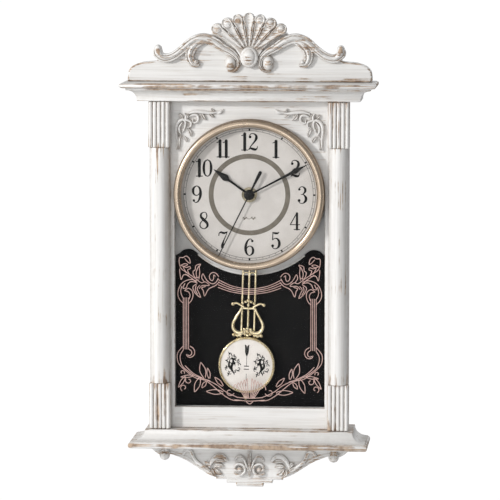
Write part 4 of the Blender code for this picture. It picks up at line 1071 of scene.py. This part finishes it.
def upper_spray():
    """A flowering branch in the window's upper right corner."""
    return [
        [(64.0, -141.0), (58.0, -145.0), (52.4, -149.0), (48.5, -151.6), (44.4, -150.8), (40.6, -154.2),
         (47.6, -154.4), (50.6, -157.4)],
        [(64.6, -143.2), (58.8, -146.9), (54.0, -150.9)],
        [(51.2, -146.0), (54.8, -146.5), (57.0, -140.9), (54.8, -138.5), (54.0, -134.4), (49.4, -132.9),
         (50.7, -135.8), (50.2, -141.0), (51.0, -148.0)],
        [(52.8, -147.0), (53.8, -142.0), (52.6, -137.6), (51.0, -134.8)],
        [(45.8, -150.4), (48.2, -146.5), (46.9, -142.6), (44.3, -147.3), (41.2, -150.9), (37.2, -152.6),
         (33.9, -151.0), (31.6, -147.0)],
        [(34.6, -144.9), (36.1, -143.7), (36.2, -147.2), (37.6, -149.3), (39.8, -148.0), (40.4, -144.2),
         (37.6, -141.3), (33.9, -141.9), (31.2, -145.0)],
        [(30.6, -150.6), (34.4, -154.4), (39.4, -156.7), (42.3, -159.3), (45.3, -165.0), (46.7, -159.7),
         (48.2, -156.8), (44.4, -155.4)],
        [(52.9, -152.6), (57.0, -155.7), (56.0, -160.1), (53.4, -163.6), (49.4, -166.4), (51.4, -161.0),
         (52.8, -157.6), (50.4, -154.4)],
        [(53.8, -154.6), (54.6, -158.8), (52.6, -163.0)],
        [(64.3, -140.8), (68.6, -137.8), (70.6, -133.2), (70.6, -126.8), (67.0, -126.4), (63.8, -124.8),
         (60.6, -127.4), (59.8, -132.0), (62.4, -130.6), (65.0, -127.6)],
        [(70.0, -134.6), (65.6, -132.6), (62.4, -133.4), (65.6, -135.2), (69.2, -134.4)],
        [(63.6, -141.8), (66.8, -136.0), (63.6, -136.4), (60.4, -135.4), (59.6, -137.4), (62.4, -139.0),
         (60.4, -143.4)],
        [(61.4, -144.2), (65.6, -143.6), (67.4, -145.2), (69.0, -148.6), (70.2, -142.0), (70.4, -138.0)],
        [(53.2, -150.0), (58.0, -148.6), (63.4, -149.4), (68.5, -152.8), (71.6, -158.6), (72.2, -164.4),
         (70.4, -169.0), (67.0, -172.4)],
        [(53.0, -151.6), (58.6, -150.6), (62.2, -153.0), (64.0, -157.0), (67.2, -157.2), (65.2, -152.8)],
        [(68.2, -155.5), (69.4, -160.0), (68.4, -164.6), (66.4, -167.8)],
        [(65.4, -159.6), (61.6, -157.4), (57.8, -160.0), (57.0, -164.6), (58.6, -169.6), (61.6, -173.0)],
        [(65.2, -159.8), (61.6, -161.0), (60.0, -164.4), (61.0, -168.2)],
    ]


def lower_spray():
    """Vines with curls and leaves in the window's lower right corner."""
    lines = [
        [(67.0, -216.0), (72.8, -223.5), (72.0, -233.0), (65.0, -241.0)],
        [(66.8, -219.5), (70.2, -226.5), (68.0, -236.0), (62.0, -241.5), (54.0, -246.5), (40.0, -251.0)],
        [(66.0, -240.0), (55.0, -248.0), (45.0, -250.5), (36.0, -257.0), (28.0, -264.0), (18.0, -270.0),
         (8.0, -270.5)],
        [(65.0, -236.0), (57.0, -243.5), (46.0, -249.0), (34.0, -254.5), (24.0, -262.0), (12.0, -267.5)],
    ]
    curls = ((61.2, -223.2, 7.2, 100.0, 230.0), (61.6, -223.4, 4.2, 100.0, 200.0),
             (66.6, -258.4, 3.6, -60.0, 300.0), (61.6, -251.0, 3.4, 30.0, -290.0),
             (68.0, -242.8, 2.4, 200.0, -260.0), (20.0, -262.0, 4.4, 200.0, 260.0))
    for cx, cz, radius, start_angle, turn in curls:
        curl = spiral(cx, cz, radius, 0.4 * radius, start_angle, turn, LINE, LINE, 9)
        lines.append([(x, z) for x, z, _ in curl])
    leaves = (((45.6, -247.6), (49.2, -233.0), 3.0), ((40.6, -248.4), (42.4, -238.4), 1.6),
              ((50.4, -248.4), (55.4, -262.0), 2.6), ((27.0, -262.6), (43.0, -261.8), 2.4),
              ((27.0, -256.0), (34.8, -247.6), 1.8), ((57.0, -246.0), (69.0, -247.4), 1.2),
              ((65.0, -247.0), (71.8, -257.6), 1.6), ((44.0, -252.0), (48.0, -258.0), 1.6))
    lines += [leaf_edge(base, tip, half) for base, tip, half in leaves]
    return lines


def make_filigree():
    """Copper-coloured line ornament on the front of the pane. Sprays and straps are mirrored."""
    sculpt = Sculpt()
    back = PANE.d1 - 0.05
    for sign in (1, -1):
        for i, line in enumerate(upper_spray() + lower_spray()):
            stroke = [(x, z, LINE) for x, z in line]
            sculpt.stroke(flipped(stroke, sign), back, PRINT + 0.002 * (i % 7))
        for i in range(4):
            x = 61.6 + STRAP_PITCH * i
            strap = [(x, z, THIN_LINE) for z in (-167.0, -180.0, -200.0, -219.0)]
            sculpt.stroke(flipped(strap, sign), back, PRINT)
        for reach in (2.4, 5.2, 8.2, 11.4, 14.8):
            top = -247.0 - 0.5 * reach
            petal = [(0.3 * reach, -268.0, LINE), (0.75 * reach, -258.0, LINE), (reach, top, LINE),
                     (reach + 1.6, top - 5.0, LINE)]
            sculpt.stroke(flipped(petal, sign), back, PRINT + 0.004)
    half_swag, lowest = 31.5, -157.4
    for i in range(4):
        sag = 9.2 - 0.9 * i
        swag = [(x, lowest - STRAP_PITCH * i + sag * (x / half_swag) ** 2, THIN_LINE)
                for x in (-half_swag, -24.0, -15.0, 0.0, 15.0, 24.0, half_swag)]
        sculpt.stroke(swag, back, PRINT + 0.003)
    for reach, dip, z in ((15.0, -1.2, -269.9), (13.0, -1.0, -267.3), (4.4, -3.4, -270.6)):
        sculpt.stroke([(-reach, z, LINE), (0.0, z + dip, LINE), (reach, z, LINE)], back, PRINT + 0.003)
    sculpt.piece("pane_print", COPPER_PRINT, slot="dial_print")


def make_card_edge():
    """The raw pale edge of the printed card under the dial."""
    card = span("backdrop_sheet")
    radius, half_angle, count = 82.9, 40.0, 40
    angles = [math.radians(-half_angle + 2 * half_angle * i / count) for i in range(count + 1)]
    edge = [(radius * math.sin(a), DIAL_Z - radius * math.cos(a), 0.8) for a in angles]
    sculpt = Sculpt()
    sculpt.stroke(edge, card.d0 + 0.1, card.d1 - card.d0, 1)
    sculpt.piece("card_edge", WHITE_X, slot="case_paint")


# ---------------------------------------------------------------- pendulum

FACE_TOP, FACE_RISE, FACE_RADIUS = 23.1, 0.9, 26.0      # the bob's enamel face is a shallow dome


def hung():
    """A sculpt for the pendulum: z is the height over the pivot before the tilt of the rest pose."""
    return Sculpt(turned_place(REST_TILT, 0.0, PIVOT_Z))


def make_rods():
    """Three rods, joined by small arches at the top and where they come out under the bezel."""
    rods = hung()
    top, foot, middle, pitch = -26.4, -106.0, 19.6, 6.4
    for x in (-pitch, 0.0, pitch):
        rods.rod([(x, top - 3.6, 1.2), (x, (top + foot) / 2, 1.2), (x, foot, 1.2)], middle, 4, 16, 0.66)
    for sign in (1, -1):
        arch = [(sign * pitch, top - 4.0, 0.8), (sign * 6.0, top - 1.6, 0.8), (sign * 3.4, top - 0.9, 0.8),
                (sign * 0.8, top - 2.2, 0.8), (0.0, top - 4.4, 0.8)]
        rods.rod(arch, middle, 4, 16)
        low = [(sign * x, -44.4 - drop, 0.95)
               for x, drop in ((6.2, 3.4), (5.6, 1.0), (3.3, 0.0), (1.0, 1.0), (0.3, 3.4))]
        rods.rod(low, middle, 4, 16, 0.8)
        rods.ball(sign * 6.3, middle, -44.6, 1.4, 0.6)
    rods.rod([(-pitch, foot + 0.6, 0.8), (pitch, foot + 0.6, 0.8)], middle, 4, 16)
    rods.piece("pendulum_rods_round", BRASS, "pendulum", slot="brass", replaces=["pendulum_rods"])


def make_lyre():
    lyre = hung()
    front = 21.5
    for sign in (1, -1):
        side = [(7.2, -80.6, 1.1), (8.2, -83.6, 1.2), (11.6, -89.4, 1.35), (14.6, -95.4, 1.5),
                (15.0, -100.4, 1.75), (12.2, -104.6, 2.0), (7.0, -105.8, 1.9), (2.2, -103.4, 1.2)]
        arm = [(4.4, -79.4, 0.9), (8.0, -77.4, 1.15), (12.0, -75.6, 1.1), (15.0, -76.4, 0.9)]
        ear = [(2.6, -104.8, 1.0), (7.0, -107.4, 1.1), (11.0, -108.4, 1.0), (13.6, -107.2, 0.8)]
        for line in (side, arm, ear):
            lyre.rod(flipped(line, sign), front, 5, 14, 0.6)
        for x, z, radius in ((15.6, -76.8, 1.9), (5.9, -75.4, 1.6), (6.3, -80.8, 1.7), (7.8, -83.0, 1.3),
                             (13.8, -108.0, 1.9), (10.2, -109.0, 1.4), (3.2, -102.2, 1.7), (5.8, -104.6, 1.6),
                             (7.2, -108.6, 1.4)):
            lyre.ball(sign * x, front, z, radius, 0.55)
    lyre.rod([(-6.6, -80.2, 1.1), (0.0, -80.8, 1.2), (6.6, -80.2, 1.1)], front, 4, 14, 0.6)
    for x, z, radius in ((0.0, -72.8, 1.9), (-2.8, -74.0, 1.5), (2.8, -74.0, 1.5), (0.0, -77.2, 1.5),
                         (0.0, -80.8, 1.6), (0.0, -104.2, 2.2), (0.0, -101.2, 1.5), (-2.6, -106.8, 1.7),
                         (2.6, -106.8, 1.7), (0.0, -108.2, 1.4)):
        lyre.ball(x, front, z, radius, 0.55)
    lyre.piece("pendulum_lyre_cast", BRASS, "pendulum", slot="antique_gold", replaces=["pendulum_lyre"])


def make_bob():
    """The turned brass case with its rim, and the domed enamel face."""
    bob_z = -BOB_DROP
    radius = (BOB.x1 - BOB.x0) / 2
    case = [(0.0, 16.3), (14.0, 16.35), (22.0, 16.6), (26.0, 17.2), (28.3, 18.0, 0.0, 0.6),
            (28.5, 18.4, 0.0, 1.0), (28.9, 18.8), (radius, 20.0), (radius, 20.8), (28.9, 22.0), (28.4, 22.9),
            (27.9, 23.3), (27.5, 23.3), (27.35, 22.9, 0.0, 1.0), (27.15, 22.95, 0.0, 0.6), (26.9, 23.15),
            (26.6, 23.1), (26.3, 22.6), (26.25, 21.7, 0.0, 0.6), (0.0, 21.6)]
    sculpt = hung()
    sculpt.lathe(case, (0.0, 0.0, bob_z), 128)
    sculpt.piece("bob_case_turned", BRASS, "pendulum", slot="antique_gold", replaces=["bob_case"], sharp=50.0)
    face = [(26.2, 21.9), (26.2, 22.1), (26.0, 22.2)]
    face += [(r, FACE_TOP - FACE_RISE * (r / FACE_RADIUS) ** 2)
             for r in (25.0, 23.0, 20.0, 16.0, 12.0, 8.0, 4.0, 0.0)]
    sculpt = hung()
    sculpt.lathe([(0.0, 21.9)] + face, (0.0, 0.0, bob_z), 128)
    sculpt.piece("bob_face_domed", ENAMEL, "pendulum", slot="bob_enamel", replaces=["bob_face"])


def make_bob_finial():
    neck = -BOB_DROP - (BOB.x1 - BOB.x0) / 2 - 0.3
    profile = [(0.0, neck), (1.3, neck), (1.2, neck - 1.0, 0.0, 0.8), (2.9, neck - 1.5), (3.25, neck - 2.5),
               (3.0, neck - 3.6), (1.7, neck - 4.3, 0.0, 0.8), (1.9, neck - 5.2), (1.3, neck - 6.2),
               (0.0, neck - 6.8)]
    sculpt = hung()
    sculpt.lathe(profile, (0.0, PIVOT_DEPTH, 0.0), 40, upright=True, lobes=(10, 0.02))
    sculpt.piece("bob_finial_turned", BRASS, "pendulum", slot="antique_gold", replaces=["bob_finial"])


def make_bob_sprig(mark, sign, cx, cz):
    """A bunch of leaves on two crossing stems, ringed by small curls."""
    for line in ([(-1.6, -8.4, 0.3), (0.9, -3.0, 1.0), (-1.0, 3.0, 0.9), (0.8, 7.6, 0.3)],
                 [(-4.4, -3.4, 0.3), (-2.4, 1.4, 1.0), (0.4, 1.0, 0.5), (3.4, 2.6, 0.3)],
                 [(1.0, -5.6, 0.3), (3.4, -1.0, 0.9), (2.6, 4.4, 0.3)],
                 [(-3.6, 4.6, 0.3), (-0.6, 6.0, 0.7), (3.4, 5.2, 0.2)]):
        mark([(cx + sign * x, cz + z, 1.25 * half) for x, z, half in line])
    for i, a in enumerate(turns(17)):
        reach = 0.86 + 0.16 * math.cos(3 * a + 0.7)
        x, z = cx + 6.9 * reach * math.cos(a), cz + 10.6 * reach * math.sin(a)
        mark(spiral(x, z, 1.7, 0.5, 40.0 * i, 250.0 * (-1) ** i, 0.42, 0.2, 8))
        if i % 2:
            mark(leaf((x, z), (x + 3.0 * math.cos(a + 0.5), z + 3.6 * math.sin(a + 0.5)), 0.55, 0.2))


def make_bob_print():
    """Two flower sprigs, a dart, a hair line and two short bars on the bob's face."""
    sculpt = hung()
    bob_z = -BOB_DROP
    bottom = FACE_TOP - 0.45

    def mark(line, tall=PRINT):
        """A stroke whose back is sunk under the dome at its middle."""
        x, z, _ = line[len(line) // 2]
        lift = FACE_RISE * ((x * x + z * z) / FACE_RADIUS ** 2)
        sculpt.stroke([(u, bob_z + v, half) for u, v, half in line], bottom - lift, tall + 0.45, 4)

    for z0, z1 in ((11.0, -1.0), (-4.6, -21.0)):
        mark([(0.0, z0 + (z1 - z0) * t, 0.2) for t in (0.0, 0.5, 1.0)])
    for sign in (1, -1):
        mark([(sign * 1.9, 20.6, 0.3), (sign * 1.1, 18.6, 0.85), (sign * 0.9, 13.4, 0.85),
              (sign * 0.3, 9.8, 0.3)])
    for z in (-0.9, -4.0):
        mark([(-2.2, z, 0.42), (0.0, z, 0.42), (2.2, z, 0.42)])
    for sign in (1, -1):
        make_bob_sprig(mark, sign, sign * 14.4, 0.2)
    sculpt.piece("bob_print", DIAL_INK, "pendulum", slot="bob_enamel")


# ---------------------------------------------------------------- movement and fixings

def make_screw(node):
    """A domed head with a cross recess, seen from behind, and the shank it has in the CAD."""
    box = span(node)
    radius, shank_radius = (box.x1 - box.x0) / 2, 1.4
    head_front = box.d0 + (1.8 if box.d1 - box.d0 < 2.5 else 1.5)
    rise = head_front - box.d0
    angles = turns(32)
    sculpt = Sculpt()

    def circle(reaches, depth, wear, grime):
        return sculpt.ring([(box.cx + reach * math.cos(t), depth, box.cz + reach * math.sin(t), wear, grime)
                            for reach, t in zip(reaches, angles)])

    rings = []
    if box.d1 > head_front + 0.5:
        rings += [circle([shank_radius] * 32, depth, 0.0, 0.4) for depth in (box.d1, head_front)]
    for share, level in ((1.0, 0.0), (0.99, 0.25), (0.9, 0.6), (0.7, 0.85), (0.45, 0.97)):
        rings.append(circle([radius * share] * 32, head_front - rise * level, 0.3, 0.0))
    for share, level in ((0.36, 1.0), (0.34, 0.5), (0.2, 0.35)):
        cross = [radius * (share * (1.45 if i % 8 in (0, 1, 7) else 0.5)) for i in range(32)]
        rings.append(circle(cross, head_front - rise * level, 0.0, 1.0 - level))
    sculpt.skin(rings)
    sculpt.piece(node + "_cross_head", STEEL, slot="steel", replaces=[node], sharp=35.0)


def make_fixings():
    for side in SIDES:
        for node in (f"hanger_screw_{side}", f"panel_screw_top_{side}", f"panel_screw_bottom_{side}"):
            make_screw(node)


def make_knob():
    """The setting knob, with fine ribs round its rim."""
    knob = span("set_knob")
    radius = (knob.x1 - knob.x0) / 2
    rib = 0.035
    sculpt = Sculpt()
    rings = []
    for r, depth, swell in ((0.2, 13.0, 0.0), (0.9 * radius, 13.0, 0.0), (0.97 * radius, 13.4, rib),
                            (radius * 0.965, 15.2, rib), (0.93 * radius, 15.7, 0.0), (1.5, 15.7, 0.0),
                            (1.5, 22.0, 0.0), (0.2, 22.0, 0.0)):
        ring = []
        for i, t in enumerate(turns(96)):
            reach = r * (1 + (swell if i % 4 < 2 else -swell))
            ring.append((knob.cx + reach * math.cos(t), depth, knob.cz + reach * math.sin(t)))
        rings.append(sculpt.ring(ring))
    sculpt.skin(rings)
    sculpt.piece("set_knob_ribbed", WHITE_PLASTIC, "setting", slot="white_plastic", replaces=["set_knob"],
                 sharp=30.0)


def make_battery():
    """An AA cell lying along x, with its button, shoulder and recessed foot."""
    cell = span("battery_aa")
    radius, middle = (cell.z1 - cell.z0) / 2, (cell.d0 + cell.d1) / 2
    profile = [(0.0, cell.x1), (2.5, cell.x1), (2.6, cell.x1 - 0.3), (2.6, cell.x1 - 1.2),
               (5.9, cell.x1 - 1.25), (6.6, cell.x1 - 1.6), (radius, cell.x1 - 2.2), (radius, cell.x0 + 0.8),
               (6.6, cell.x0 + 0.2), (4.6, cell.x0), (4.4, cell.x0 + 0.2), (0.0, cell.x0 + 0.2)]
    sculpt = Sculpt()
    rings = []
    for r, x in profile:
        reach = max(r, 0.02)
        rings.append(sculpt.ring([(x, middle + reach * math.cos(t), cell.cz + reach * math.sin(t))
                                  for t in turns(48)]))
    sculpt.skin(rings)
    sculpt.piece("battery_aa_shaped", JACKET, slot="battery_jacket", replaces=["battery_aa"])


def make_cover_ribs():
    """Moulded ribs on the movement's back and a rim round the setting knob."""
    cover, knob = span("movement_cover"), span("set_knob")
    ribs = Sculpt()
    for i in range(6):
        z = cover.z1 - 3.5 - 1.5 * i
        ribs.band([(x, z, 0.45) for x in (-22.0, 0.0, 22.0)], cover.d0 - 0.4, 0.6, FLAT, 3, taper=0.0)
    ribs.lathe([(6.6, cover.d0 - 0.5), (7.4, cover.d0 - 0.5), (7.6, cover.d0 + 0.2), (6.4, cover.d0 + 0.2)],
               (knob.cx, 0.0, knob.cz), 64, looped=True)
    ribs.piece("movement_cover_ribs", BLACK_PLASTIC, slot="movement_plastic")


# ---------------------------------------------------------------- camera, light and floor

def aim(obj, target):
    obj.rotation_euler = (Vector(target) - obj.location).to_track_quat("-Z", "Y").to_euler()


def make_camera():
    azimuth, elevation, distance = math.radians(5.0), math.radians(6.5), 3.2
    target = Vector((0.0005, -0.034, -0.118))
    data = bpy.data.cameras.new("camera")
    data.lens, data.sensor_width = 230.4, 36.0          # a long lens: the photograph is nearly flat
    data.clip_end = 20.0
    camera = bpy.data.objects.new("camera", data)
    camera.location = target + distance * Vector((
        math.sin(azimuth) * math.cos(elevation), -math.cos(azimuth) * math.cos(elevation),
        math.sin(elevation)))
    bpy.context.scene.collection.objects.link(camera)
    aim(camera, target)
    bpy.context.scene.camera = camera


def area_light(name, place, target, size, watts, colour=(1.0, 1.0, 1.0)):
    data = bpy.data.lights.new(name, "AREA")
    data.shape = "DISK"
    data.size, data.energy, data.color = size, watts, colour
    light = bpy.data.objects.new(name, data)
    light.location = place
    bpy.context.scene.collection.objects.link(light)
    aim(light, target)


BACKDROP_WAY = (-0.087, 0.99, -0.113)        # from the camera on past the clock
WINDOW_WAY = (-0.72, -0.62, 0.31)


def make_sky():
    """A soft studio: white behind the clock, a bright window front left, and dim all round."""
    world = bpy.data.worlds.new("studio")
    world.use_nodes = True
    tree = world.node_tree
    background = tree.nodes["Background"]
    direction = add(tree, "TexCoord").outputs["Generated"]

    def towards(way):
        return add(tree, "VectorMath", {0: direction, 1: way}, operation="DOT_PRODUCT").outputs["Value"]

    height = add(tree, "SeparateXYZ", {0: direction}).outputs[2]
    dim = step_up(tree, height, -0.9, 0.9, 0.22, 0.30)
    window = step_up(tree, towards(WINDOW_WAY), 0.45, 0.92, 0.0, 0.65)
    paper = step_up(tree, towards(BACKDROP_WAY), 0.80, 0.965)
    level = mix(tree, paper, math_of(tree, "ADD", dim, window), rgb(1.03, 1.03, 1.03))
    tree.links.new(level, background.inputs["Color"])
    bpy.context.scene.world = world


def make_floor():
    """A pale floor slab with rounded edges, well below the clock; the photograph's view doesn't show it."""
    sculpt = Sculpt()
    rings = []
    top, half_width = -620.0, 1200.0
    for inwards, below in ((20.0, 40.0), (0.0, 30.0), (0.0, 8.0), (10.0, 0.0)):
        half, z = half_width - inwards, top - below
        corners = [(half, -half), (half, half), (-half, half), (-half, -half)]
        rings.append(sculpt.ring([(x, depth, z) for x, depth in corners]))
    sculpt.skin(rings)
    mesh = bpy.data.meshes.new("floor")
    mesh.from_pydata(sculpt.points, [], sculpt.faces)
    mesh.materials.append(varied("floor_paper", rgb(0.90, 0.90, 0.90), rgb(0.86, 0.86, 0.86), 3.0,
                                 (0.7, 0.85)))
    floor = bpy.data.objects.new("floor", mesh)
    bpy.context.scene.collection.objects.link(floor)


def make_studio():
    scene = bpy.context.scene
    scene.view_settings.view_transform = "Standard"
    make_camera()
    make_sky()
    make_floor()
    centre = (0.0, -0.03, -0.12)
    area_light("key", (-1.72, -1.55, 0.66), centre, 0.26, 33.0, (1.0, 0.985, 0.965))
    area_light("fill", (0.7, -2.6, 0.5), centre, 1.8, 3.0, (0.97, 0.985, 1.0))
    area_light("low_fill", (-0.3, -2.4, -0.50), centre, 1.0, 6.0)
    area_light("back_fill", (0.9, 1.9, 0.9), centre, 1.2, 12.0)


# ---------------------------------------------------------------- scene

finish_cad_nodes()
make_mouldings()
make_pillars()
make_crest()
make_spandrels()
make_apron_board()
make_apron_carving()
make_drop_finials()
make_numerals()
make_dial_print()
make_dial_sprig()
make_bezel()
make_spacer()
make_hands()
make_filigree()
make_card_edge()
make_rods()
make_lyre()
make_bob()
make_bob_print()
make_bob_finial()
make_fixings()
make_knob()
make_battery()
make_cover_ribs()
make_studio()
